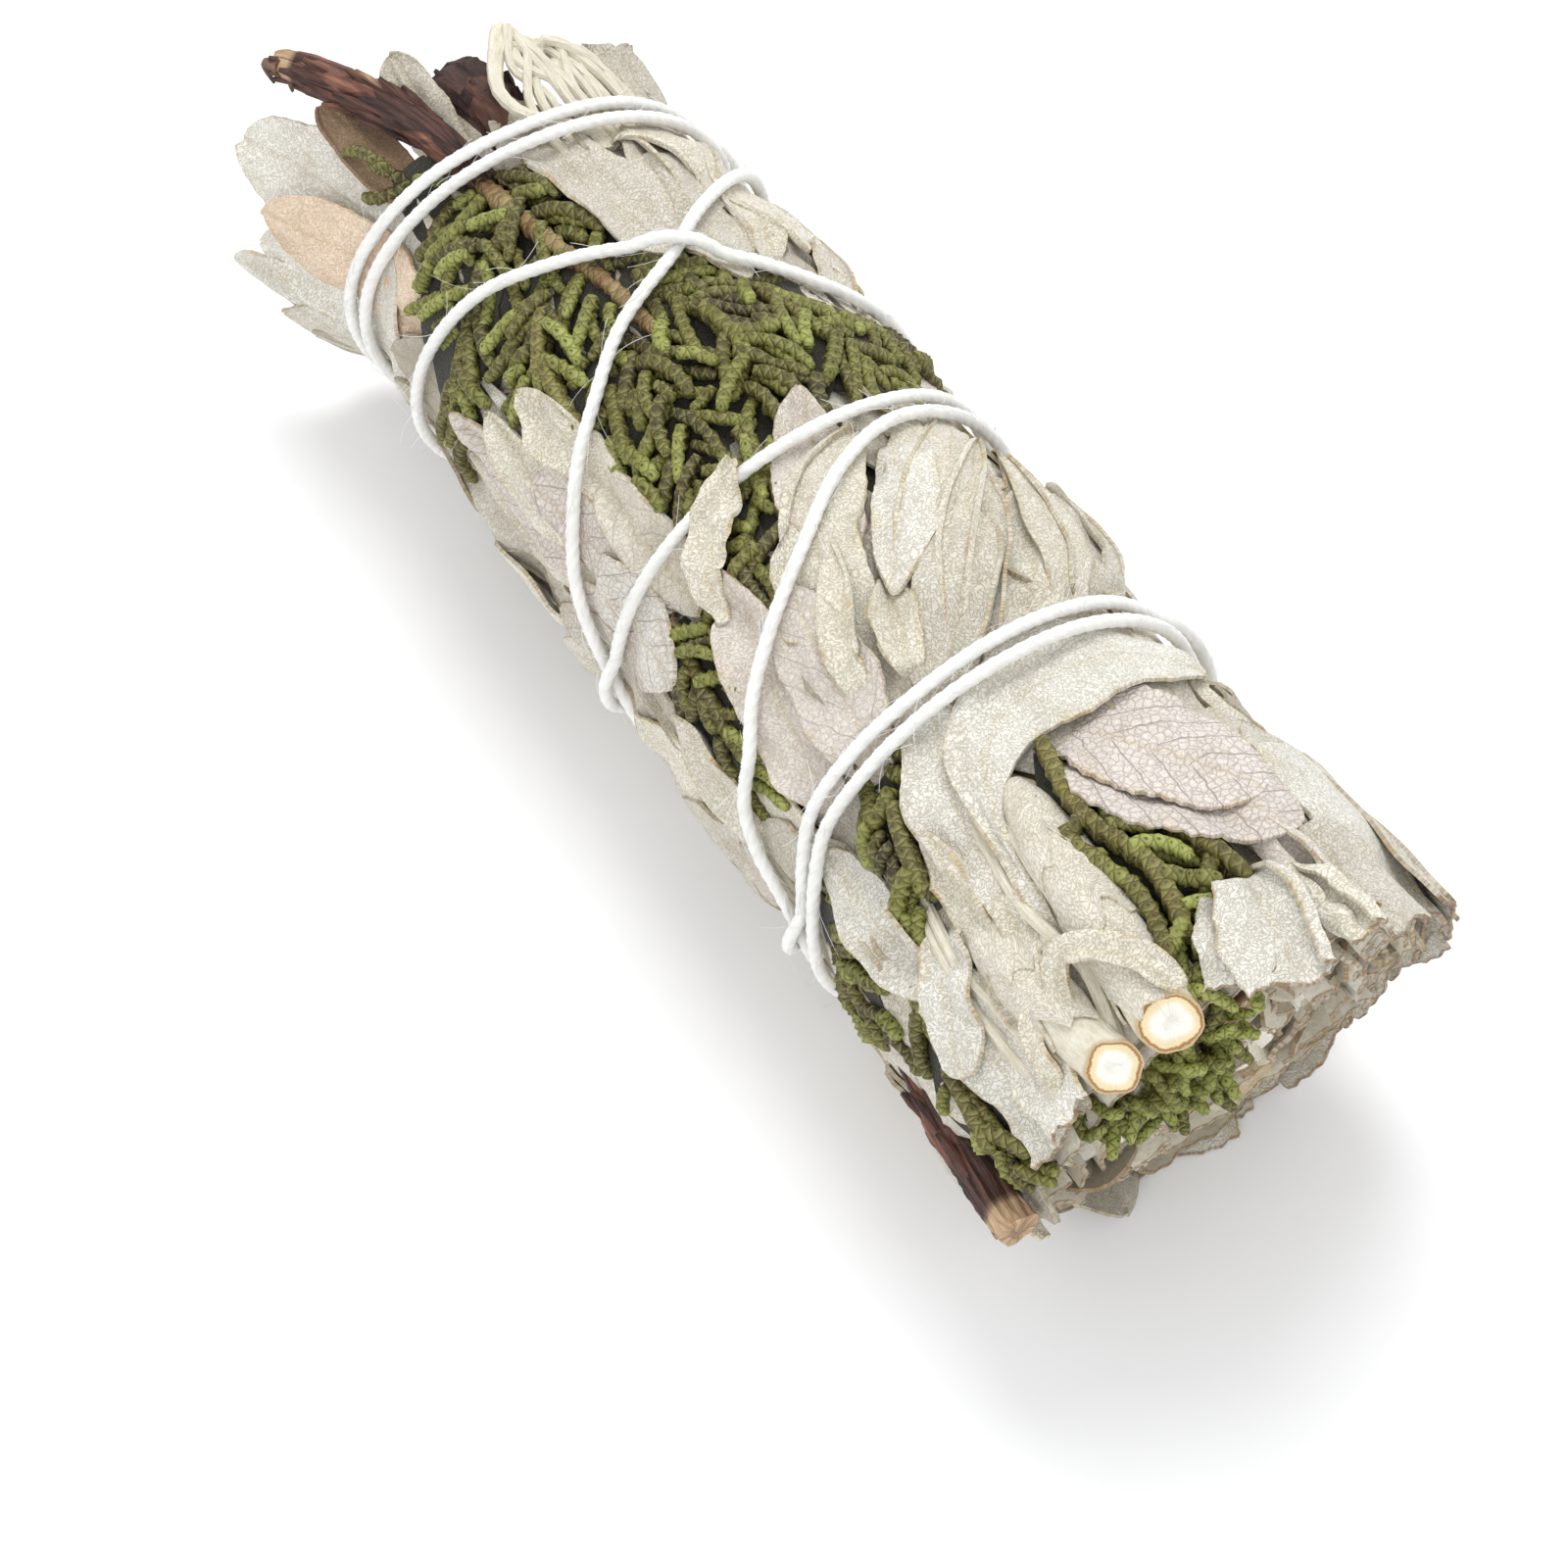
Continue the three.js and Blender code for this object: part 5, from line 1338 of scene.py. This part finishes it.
def cutSheets():
    draw = random.Random(41)
    made = []
    blank = blades["sheet"]
    t = blank["t"]

    def standOut(y, z, reach, lean=0.0):  # a curve across the end, drawn out along the bundle
        length = np.hypot(np.diff(y), np.diff(z)).sum()
        phase = draw.uniform(0, 6)
        ragged = 0.22 * np.sin(t * length * 0.9 + phase) + 0.12 * np.sin(t * length * 2.3 + phase * 2)
        out = np.linspace(0, 1, blank["order"].shape[1])
        x = endFace["from"] + (reach + ragged[:, None] - endFace["from"]) * out[None, :]
        away = np.hypot(y, z - bundle["axisHeight"])[:, None] + 1e-6
        grow = 1 + lean * (x - endFace["from"]) / away
        placeY = y[:, None] * grow
        placeZ = bundle["axisHeight"] + (z[:, None] - bundle["axisHeight"]) * grow
        placeZ = 0.3 + 0.8 * np.logaddexp(0, (placeZ - 0.3) / 0.8)
        flat = np.stack([np.broadcast_to((t * length)[:, None], x.shape), x], axis=-1)
        kind, bright = draw.choice(endFace["kinds"]), draw.uniform(0.92, 1.06)
        made.append(bentSheet(blank, np.stack([x, placeY, placeZ], axis=-1) * mm, flat, out[None, :], kind, bright))

    for ring in endFace["rings"]:
        start = draw.uniform(0, 6.28)
        end = start + 2 * math.pi
        while start < end - 0.3:
            length = draw.uniform(7, 18)
            sweep = min(length / ring, end - start)
            waved = 0.55 * np.sin(t * draw.uniform(5, 13) + draw.uniform(0, 6))
            waved = waved + 0.3 * np.sin(t * draw.uniform(14, 26) + draw.uniform(0, 6))
            ends = 1.6 * (1 - rise(t, 0.0, 0.2)) * draw.uniform(-1, 0.2) - 2.6 * rise(t, 0.78, 1.0) * draw.random()
            radius = ring + waved + ends + draw.uniform(-0.4, 0.4)
            angle = start + sweep * t
            reach, lean = draw.uniform(*endFace["reach"]) - 0.8 * (ring < 7), draw.uniform(0.0, 0.09)
            standOut(-radius * np.sin(angle), bundle["axisHeight"] + radius * np.cos(angle), reach, lean)
            start += sweep + draw.uniform(0.1, 0.6) / ring
    for _ in range(endFace["scrolls"]):  # rolled leaves
        at, away = draw.uniform(0, 6.28), draw.choice((7.5, 11.5, 16, 18))
        wide, squash, turn = draw.uniform(1.3, 2.6), draw.uniform(0.45, 0.9), draw.uniform(0, 6.28)
        theta = t * draw.uniform(8, 12) + draw.uniform(0, 6.28)
        radius = wide * (0.3 + 0.7 * t)
        a, b = radius * np.cos(theta), radius * np.sin(theta) * squash
        y = -away * math.sin(at) + a * math.cos(turn) - b * math.sin(turn)
        z = bundle["axisHeight"] + away * math.cos(at) + a * math.sin(turn) + b * math.cos(turn)
        standOut(y, z, draw.uniform(61.2, 63.6), 0.02)
    blank = blades["blunt"]
    for _ in range(endFace["faces"]):  # leaves folded across the end
        at, away = draw.uniform(0, 6.28), draw.uniform(2, 18.5)
        turn, tilt = draw.uniform(0, 6.28), draw.uniform(0.25, 0.9)
        long, wide = draw.uniform(5, 9), draw.uniform(4, 7)
        u = (blank["t"] - 0.5)[:, None] * long + blank["across"] * 0
        v = blank["across"] * wide / 2
        bulge = 0.35 * np.sin(u * draw.uniform(0.5, 1.1) + draw.uniform(0, 6))
        bulge = bulge + 0.3 * np.cos(v * draw.uniform(0.6, 1.4) + draw.uniform(0, 6))
        x = draw.uniform(58.4, 61.0) + v * math.sin(tilt) + bulge
        y = -away * math.sin(at) + u * math.cos(turn) - v * math.cos(tilt) * math.sin(turn)
        z = bundle["axisHeight"] + away * math.cos(at) + u * math.sin(turn) + v * math.cos(tilt) * math.cos(turn)
        z = 0.4 + 0.8 * np.logaddexp(0, (z - 0.4) / 0.8)
        q = np.abs(v) / (np.abs(v).max(axis=1, keepdims=True) + 1e-6)
        rim = np.maximum(q, rise(blank["t"], 0.93, 1.0)[:, None])
        kind, bright = draw.choice(endFace["kinds"]), draw.uniform(0.9, 1.04)
        spots, flat = np.stack([x, y, z], axis=-1) * mm, np.stack([v, u], axis=-1)
        made.append(bentSheet(blank, spots, flat, rim, kind, bright))
    return made


makePiece("sage_cut_edges", cutSheets(), cutEdge, ["sage_leaves"], angle=40, lean=True, wall=0.42)


def cutEndLeaves():  # the outer leaves where they were all cut to one length
    draw = random.Random(47)
    laid = []
    for layer in range(2):
        for k in range(16):
            around = k * 22.5 + layer * 11 + draw.uniform(-6, 6)
            if 2 < around % 360 < 108 or around % 360 > 300:
                continue
            path = [(draw.uniform(38, 46), around), (53, around + draw.uniform(-4, 4)),
                    (draw.uniform(60.4, 63), around + draw.uniform(-6, 6))]
            laid.append(layLeaf(path, draw.uniform(8, 14), blade="cutOff", lift=draw.uniform(0.2, 1.4),
                                wave=draw.uniform(0.3, 0.7), tone=draw.choice(("silver", "cream", "pale", "stone")),
                                veined=draw.choice([0, 0.2, 0.7]), seed=6000 + len(laid)))
    return laid


makePiece("sage_cut_end_leaves", cutEndLeaves(), leafFelt, ["sage_leaves"], lean=True, wall=0.4)


print("stage: packed core")
core = {"rings": 56, "sides": 72, "from": -50.0, "to": 57.5, "rough": 0.5}


def packedCore():
    takeNothing()
    bpy.ops.mesh.primitive_cylinder_add(vertices=core["sides"], radius=1, depth=1, location=(0, 0, 0.5),
                                        end_fill_type="TRIFAN")
    made = bpy.context.object
    bpy.ops.object.transform_apply(location=True, rotation=False, scale=False)
    cutAlong(made, core["rings"])
    co = spotsOf(made)
    x = core["from"] + (core["to"] - core["from"]) * co[:, 2]
    turn = np.arctan2(co[:, 1], co[:, 0])
    height = -0.5 + core["rough"] * np.random.RandomState(3).uniform(-0.6, 0.4, len(co))
    moveTo(made, onBundle(x, turn * bundle["unrollRadius"], height))
    return made


makePiece("sage_packed_core", [packedCore()], innerLeaf, ["sage_leaves"], angle=180, lean=True)


stems = {  # the sheaths: part of the length, start and sweep round the stem, flare
    "sage_stem_1": dict(path=[(38, 47, -0.3), (47, 45, 0.7), (55, 42.5, 1.1), (62, 40, 1.3)], radius=2.55,
                        profile=[(0, 0.4), (0.25, 0.6), (0.45, 0.92), (0.5, 1.06), (0.56, 0.98), (1, 1)],
                        sheaths=[((0.3, 0.78), 60, 250, 0.25), ((0.0, 0.5), 120, 230, 0.2)]),
    "sage_stem_2": dict(path=[(36, 17.5, 0.2), (45, 19.5, 1), (54, 22, 1.3), (62.5, 24, 1.4)], radius=2.85,
                        profile=[(0, 0.4), (0.1, 0.7), (0.24, 0.9), (0.6, 0.96), (0.9, 1), (1, 1)],
                        sheaths=[((0.4, 0.9), 75, 260, 0.3), ((0.14, 0.62), 110, 250, 0.35),
                                 ((0.0, 0.34), 70, 240, 0.15)]),
}
packedStems = [  # y, z, radius
    (-6, 9, 2.1), (6, 11, 2.4), (-1, 19, 2.7), (9.5, 23, 2.2), (-9.5, 22, 2.3),
]


def cutStem(centre, radii, seed, slant=0.0, aged=0.0):
    draw = np.random.RandomState(seed)
    lumps = 1 + 0.03 * draw.uniform(-1, 1, len(radii))
    made = bendRod(stemRod, centre, np.asarray(radii) * lumps, columns=14)
    co, spot = stemRod["co"], spotsOf(made)
    near = rise(co[:, 2], 0.75, 1.0)  # the cut goes through at a slant, and isn't quite clean
    uneven = 0.1 * np.sin(co[:, 0] * 5 + seed) * np.cos(co[:, 1] * 4 + seed * 2)
    spot[:, 0] -= near * (np.tan(np.radians(slant)) * co[:, 1] + uneven) * radii[-1] * mm
    moveTo(made, spot)
    paint(made.data, "cutFace", (co[:, 2] > 0.999).astype(float))
    paint(made.data, "pith", np.hypot(co[:, 0], co[:, 1]))
    paint(made.data, "aged", aged)
    return made


def sheathOn(centre, radii, part, start, sweep, flare, seed):  # a papery leaf base wrapped round a stem
    draw = random.Random(seed)
    blank = blades["sheath"]
    t = blank["t"][:, None]
    run = part[0] + (part[1] - part[0]) * t
    turn = np.radians(start + sweep * blank["across"] / 2)
    ragged = (0.05 * np.sin(turn * 3 + seed) + 0.035 * np.sin(turn * 7 + seed * 2)) * rise(t, 0.6, 1.0)
    spot = np.clip(run + ragged, 0, 1) * (len(centre) - 1)
    middle, tangent = pointsAt(centre, spot), unit(pointsAt(np.gradient(centre, axis=0), spot))
    side = unit(np.cross(tangent, middle * np.array([0, 1, 1]) - np.array([0, 0, bundle["axisHeight"] * mm])))
    up = np.cross(side, tangent)
    radius = np.interp(spot, np.arange(len(centre)), radii) + 0.22 + flare * t**2
    radius = radius + 0.08 * np.sin(turn * 2 + t * 9 + seed)
    spots = middle + (side * np.cos(turn)[..., None] + up * np.sin(turn)[..., None]) * radius[..., None] * mm
    flat = np.stack([turn * radius, turn * 0 + run * lengthOf(centre) + seed * sideVeinPitch], axis=-1)
    rim = np.maximum(np.abs(blank["across"]), rise(t, 0.9, 1.0))
    return bentSheet(blank, spots, flat, rim, "cream", draw.uniform(0.96, 1.02))


print("stage: stems")
sheaths = []
for i, (name, stem) in enumerate(stems.items()):
    spots = np.append(np.linspace(0, 0.985, stemRod["segments"]), 1.0)
    radii = stem["radius"] * np.interp(spots, *zip(*stem["profile"]))
    centre = onBundle(*pointsAt(pathThrough(stem["path"], 100), spots * 100).T)
    makePiece(name + "_wood", [cutStem(centre, radii, i, slant=30)], dryStem, [name])
    sheaths += [sheathOn(centre, radii, *wrap, seed=7 + 3 * i + k) for k, wrap in enumerate(stem["sheaths"])]
for i, (y, z, radius) in enumerate(packedStems):
    x = np.append(np.linspace(-30, 59, stemRod["segments"]), 59.6 + (i % 3) * 0.5)
    centre = np.stack([x, x * 0 + y, x * 0 + z], axis=1) * mm
    radii = radius * np.interp(x, [-30, 20, 62], [0.7, 0.9, 1.0])
    name = f"sage_stem_{i + 3}"
    wood = cutStem(centre, radii, 20 + i, slant=8, aged=1.0)
    makePiece(name + "_wood", [wood], dryStem, [name])
makePiece("sage_stem_sheaths", sheaths, leafFelt, wall=0.3)


def layStalk(path, radii, seed):  # a thin leaf stalk through (x, around, height) points
    line = pathThrough(path, stalk["segments"])
    width = np.interp(np.linspace(0, 1, len(line)), np.linspace(0, 1, len(radii)), radii)
    made = bendRod(stalk, onBundle(*line.T), width, columns=5, offset=seed * 7.3)
    paint(made.data, "cutFace", 0.0)
    paint(made.data, "pith", 0.0)
    return made


def leafStalks():
    draw = random.Random(71)
    laid = []
    for i in range(17):  # a tangle of stalks at the open end, gathered at their cut ends
        aside = i / 16
        at = -6 - 40 * aside + draw.uniform(-7, 7)
        end = (-63.6 + 3.5 * aside + draw.uniform(-1, 1), -8 - 7 * aside + draw.uniform(-3, 3),
               3.2 - 1.0 * aside + draw.uniform(-0.9, 0.9))
        bow = draw.uniform(-7, 7)
        out = (-60 + draw.uniform(-1, 1), end[1] * 0.7 + at * 0.3 + bow, 3.2 + draw.uniform(-0.9, 0.8))
        back = (-54.5 + draw.uniform(-1, 1), end[1] * 0.3 + at * 0.7 - bow * 0.4, 2.7 + draw.uniform(-0.6, 0.4))
        radii = [draw.uniform(0.5, 0.85), draw.uniform(0.42, 0.62), 0.48, draw.uniform(0.45, 0.65)]
        laid.append(layStalk([end, out, back, (-47, at, 0.8)], radii, i))
    thick = [(-64.4, -11, 2.4), (-62.6, -7, 3.0), (-60, -1.5, 3.0), (-57.2, 2.0, 2.8), (-54, 0, 2.6), (-51, -10, 2.2),
             (-48, -24, 1.0)]
    laid.append(layStalk(thick, [1.15, 0.9, 0.7, 0.62, 0.62, 0.58], 20))
    for at in (26, 33, 41, 54, 57):  # and the ones that run to the cut end among the stems
        path = [(36, at - 3, 0.6), (46, at, 1.6 + draw.uniform(-0.3, 0.5)), (54, at + draw.uniform(-2, 4), 1.4),
                (61.5, at + draw.uniform(-1, 5), 0.6)]
        laid.append(layStalk(path, [0.5, 0.6, 0.65, 0.8], 30 + at))
    return laid


makePiece("sage_leaf_stalks", leafStalks(), dryStem)

twigs = {
    "juniper_twig_1": dict(path=[(-77, 45, 3.6), (-75.2, 42, 4.6), (-67.8, 34, 3.1), (-60, 26.5, 1.4),
                                 (-50, 21.5, 1.0)],
                           profile=[(0, 0.8), (0.04, 1.35), (0.14, 1.6), (0.2, 1.95), (0.42, 2.15), (0.6, 2.1),
                                    (0.8, 1.7), (1, 1.3)], peeledFrom=(0.0, 0.12), flakes=16,
                           hooks=[[(-75, 43.5, 5.4), (-77.8, 47, 4.6), (-78, 53, 2.0)],
                                  [(-72.8, 42, 4.0), (-74.6, 46, 3.4), (-75, 49.5, 2.2)]]),
    # twig 2 lies low under the leaves; deep darkens its bark as painted shade
    "juniper_twig_2": dict(path=[(-66, 9, -3.2), (-60, 5, -3.4), (-54, 3, -4.4), (-48, 4, -5.5)],
                           profile=[(0, 2.8), (0.08, 3.9), (0.35, 4.7), (0.6, 3.9), (1, 2.4)], peeledFrom=(0.0, 0.0),
                           flakes=30, deep=0.5),
    "juniper_twig_3": dict(path=[(42, 98, 0.8), (52, 94.5, 2.4), (63.5, 92, 3.2)], profile=[(0, 1.6), (1, 2.0)],
                           peeledFrom=(0.88, 1.0), flakes=8),
    "juniper_twig_4": dict(path=[(48, 6, -6), (56, 6, -6), (63, 6, -6)], profile=[(0, 1.8), (1, 2.0)],
                           peeledFrom=(0.97, 1.0), flakes=0),
}


def barkTwig(path, profile, peeledFrom, flakes, seed, hooks=(), deep=0.0):
    draw = np.random.RandomState(seed)
    line = pathThrough(path, twig["segments"])
    centre = onBundle(*line.T)
    width = np.interp(np.linspace(0, 1, len(line)), *zip(*profile))
    made = bendRod(twig, centre, width, columns=13)
    co, ring = twig["co"], twig["ring"]
    turn, z = np.arctan2(co[:, 1], co[:, 0]), co[:, 2]
    lump = 0.09 * np.sin(turn * 3 + z * 7) + 0.07 * np.sin(turn * 5 - z * 12 + seed)
    lump = (lump + 0.035 * draw.uniform(-1, 1, len(co))) * (np.hypot(co[:, 0], co[:, 1]) > 0.5)
    moveTo(made, centre[ring] + (spotsOf(made) - centre[ring]) * (1 + lump)[:, None])
    start, end = peeledFrom
    if end >= 1:
        peeled = rise(z, start - 0.001, start + 0.02) * (z >= start)
    else:
        peeled = (z <= end) * float(end > 0)
    paint(made.data, "peeled", peeled)
    pieces = [made]
    tangent = unit(np.gradient(centre, axis=0))
    u = np.linspace(0, 1, stalk["segments"] + 1)[:, None]
    for _ in range(flakes):  # loose strips of bark, lifted at one end
        at = int(draw.uniform(0.02, 0.9) * (len(centre) - 9))
        around = draw.uniform(0.1, 3.0)
        side = np.cross(tangent[at], centre[at] - np.array([centre[at][0], 0, bundle["axisHeight"] * mm]))
        side /= np.linalg.norm(side)
        way = side * math.cos(around) + np.cross(side, tangent[at]) * math.sin(around)
        run = centre[at] + (centre[at + 8] - centre[at]) * u * draw.uniform(0.7, 1.3)
        lift = (width[at] * 0.93 + draw.uniform(0.3, 1.0) * (1 - u) ** 2) * mm
        thin = np.interp(u[:, 0], [0, 0.3, 1], [0.25, 0.5, 0.2])
        strip = bendRod(stalk, run + way * lift, thin, way, columns=3, offset=draw.uniform(0, 50))
        paint(strip.data, "peeled", 0.7 * float(draw.uniform() < 0.12 and not deep))
        pieces.append(strip)
    for k, points in enumerate(hooks):  # splinters that hang from the broken tip
        line = pathThrough(points, stalk["segments"])
        splinter = bendRod(stalk, onBundle(*line.T), np.linspace(0.85, 0.14, len(line)), columns=3, offset=k * 9.0)
        paint(splinter.data, "peeled", 0.15)
        pieces.append(splinter)
    # deep darkens the bark as painted shade
    for piece in pieces:
        paint(piece.data, "deep", deep)
    return pieces


print("stage: twigs")
for i, (name, twigLike) in enumerate(twigs.items()):
    makePiece(name + "_bark", barkTwig(seed=60 + i, **twigLike), bark, [name], angle=35)


def newCurve(name):
    curve = bpy.data.curves.new(name, "CURVE")
    curve.dimensions = "3D"
    made = bpy.data.objects.new(name, curve)
    bpy.context.collection.objects.link(made)
    return made, curve, curve.splines.new("POLY")


def woundTwine():
    takeNothing()
    section, _, loop = newCurve("twine_plies")
    loop.points.add(twine["sides"] - 1)
    for i, point in enumerate(loop.points):
        angle = 2 * math.pi * i / twine["sides"]
        radius = twine["radius"] * (1 - twine["lobe"] + twine["lobe"] * math.cos(3 * angle)) * mm
        point.co = (radius * math.cos(angle), radius * math.sin(angle), 0, 1)
    loop.use_cyclic_u = True
    made, route, line = newCurve("twine_route")
    route.bevel_mode, route.bevel_object = "OBJECT", section
    route.use_fill_caps = True
    route.twist_mode = "MINIMUM"
    centre = onBundle(twineTrack[:, 0], twineTrack[:, 1], twine["height"] + humps, lowest=0.9)
    line.points.add(len(centre) - 1)
    line.points.foreach_set("co", np.hstack([centre, np.ones((len(centre), 1))]).ravel())
    line.points.foreach_set("tilt", np.arange(len(centre)) * twine["step"] / twine["pliesPitch"] * 2 * math.pi)
    made.select_set(True)
    bpy.context.view_layer.objects.active = made
    bpy.ops.object.convert(target="MESH")
    made = bpy.context.object
    bpy.data.objects.remove(section)
    count = np.arange(len(made.data.vertices))
    around, run = count % twine["sides"], count // twine["sides"] * twine["step"]
    # groove marks the hollows between the plies, where the cotton is painted darker as shade
    paint(made.data, "groove", 0.5 - 0.5 * np.cos(3 * around * 2 * math.pi / twine["sides"]))
    corner = cornersOf(made.data)
    mapCorners(made.data, "plyMap", np.stack([around[corner] / twine["sides"] * 4.7, run[corner]], axis=1))
    return made, centre


def cord(centre, outward=None):  # a short length of the same twine
    made = bendRod(twig, centre, np.full(len(centre), twine["radius"]), outward)
    co, ring = twig["co"], twig["ring"]
    turns = 3 * np.arctan2(co[:, 1], co[:, 0]) + 6 * math.pi * co[:, 2] * lengthOf(centre) / twine["pliesPitch"]
    plies = np.cos(turns)
    moveTo(made, centre[ring] + (spotsOf(made) - centre[ring]) * (1 + twine["lobe"] * (plies - 1))[:, None])
    made.data.uv_layers[0].name = "plyMap"
    paint(made.data, "groove", 0.5 - 0.5 * plies)
    return made


knotForm = {"slants": (-0.5, 0.6), "radius": 1.15, "wide": 1.4, "tails": ((37.5, -129), (39, -104))}


def knot(ends):  # two loops drawn tight over the twine's two ends, and the two tails
    middle = ends.mean(axis=0)
    out = middle - np.array([middle[0], 0, bundle["axisHeight"] * mm])
    out /= np.linalg.norm(out)
    u = np.linspace(0, 1, twig["segments"] + 1)[:, None]
    made = []
    for slant in knotForm["slants"]:
        way = np.array([math.sin(slant), 0, 0]) + np.cross(out, [1, 0, 0]) * math.cos(slant)
        turn = 2 * math.pi * 1.1 * u + slant * 4
        circle = (out * np.cos(turn) + np.cross(way, out) * np.sin(turn)) * knotForm["radius"] * mm
        made.append(cord(middle + circle + way * (u - 0.5) * knotForm["wide"] * mm, way))
    for x, around in knotForm["tails"]:
        tip = onBundle(x, arcOf(around), 3.1)
        bend = (middle + tip) / 2 + out * 1.6 * mm
        made.append(cord(middle * (1 - u) ** 2 + bend * 2 * u * (1 - u) + tip * u**2))
    return made


print("stage: twine")
wound, twineCentre = woundTwine()
tied = [wound, *knot(twineCentre[[0, -1]])]
makePiece("cotton_twine_wound", tied, cotton, ["cotton_twine"], angle=180)

fibres = {"count": 700, "long": (1.2, 4.5), "radius": (0.018, 0.032)}


def looseFibres():  # fine cotton hairs that stand off the twine
    draw = np.random.RandomState(8)
    laid = []
    tangent = unit(np.gradient(twineCentre, axis=0))
    u = np.linspace(0, 1, hair["segments"] + 1)[:, None]
    for _ in range(fibres["count"]):
        at = draw.randint(10, len(twineCentre) - 10)
        out = np.array([0, twineCentre[at][1], twineCentre[at][2] - bundle["axisHeight"] * mm])
        out /= np.linalg.norm(out)
        side = np.cross(tangent[at], out)
        turn = draw.uniform(-1.7, 1.7)
        away = side * math.sin(turn) + out * math.cos(turn)
        way = tangent[at] * draw.choice((-1, 1))
        length = draw.uniform(*fibres["long"]) * mm
        start = twineCentre[at] + away * twine["radius"] * 0.9 * mm
        bend = side * draw.uniform(-0.5, 0.5) + out * draw.uniform(-0.3, 0.1)
        line = start + (way * u * 0.8 + away * u * draw.uniform(0.1, 0.6) + bend * u**2) * length
        line[:, 2] = np.maximum(line[:, 2], 0.2 * mm)
        strand = bendRod(hair, line, np.full(len(u), draw.uniform(*fibres["radius"])), away, columns=1)
        strand.data.uv_layers[0].name = "plyMap"
        paint(strand.data, "groove", 0.0)
        laid.append(strand)
    return laid


makePiece("cotton_twine_fibres", looseFibres(), cotton, angle=180)

for blank in [*blades.values(), sprig, stalk, twig, stemRod, hair]:
    bpy.data.objects.remove(blank["object"])
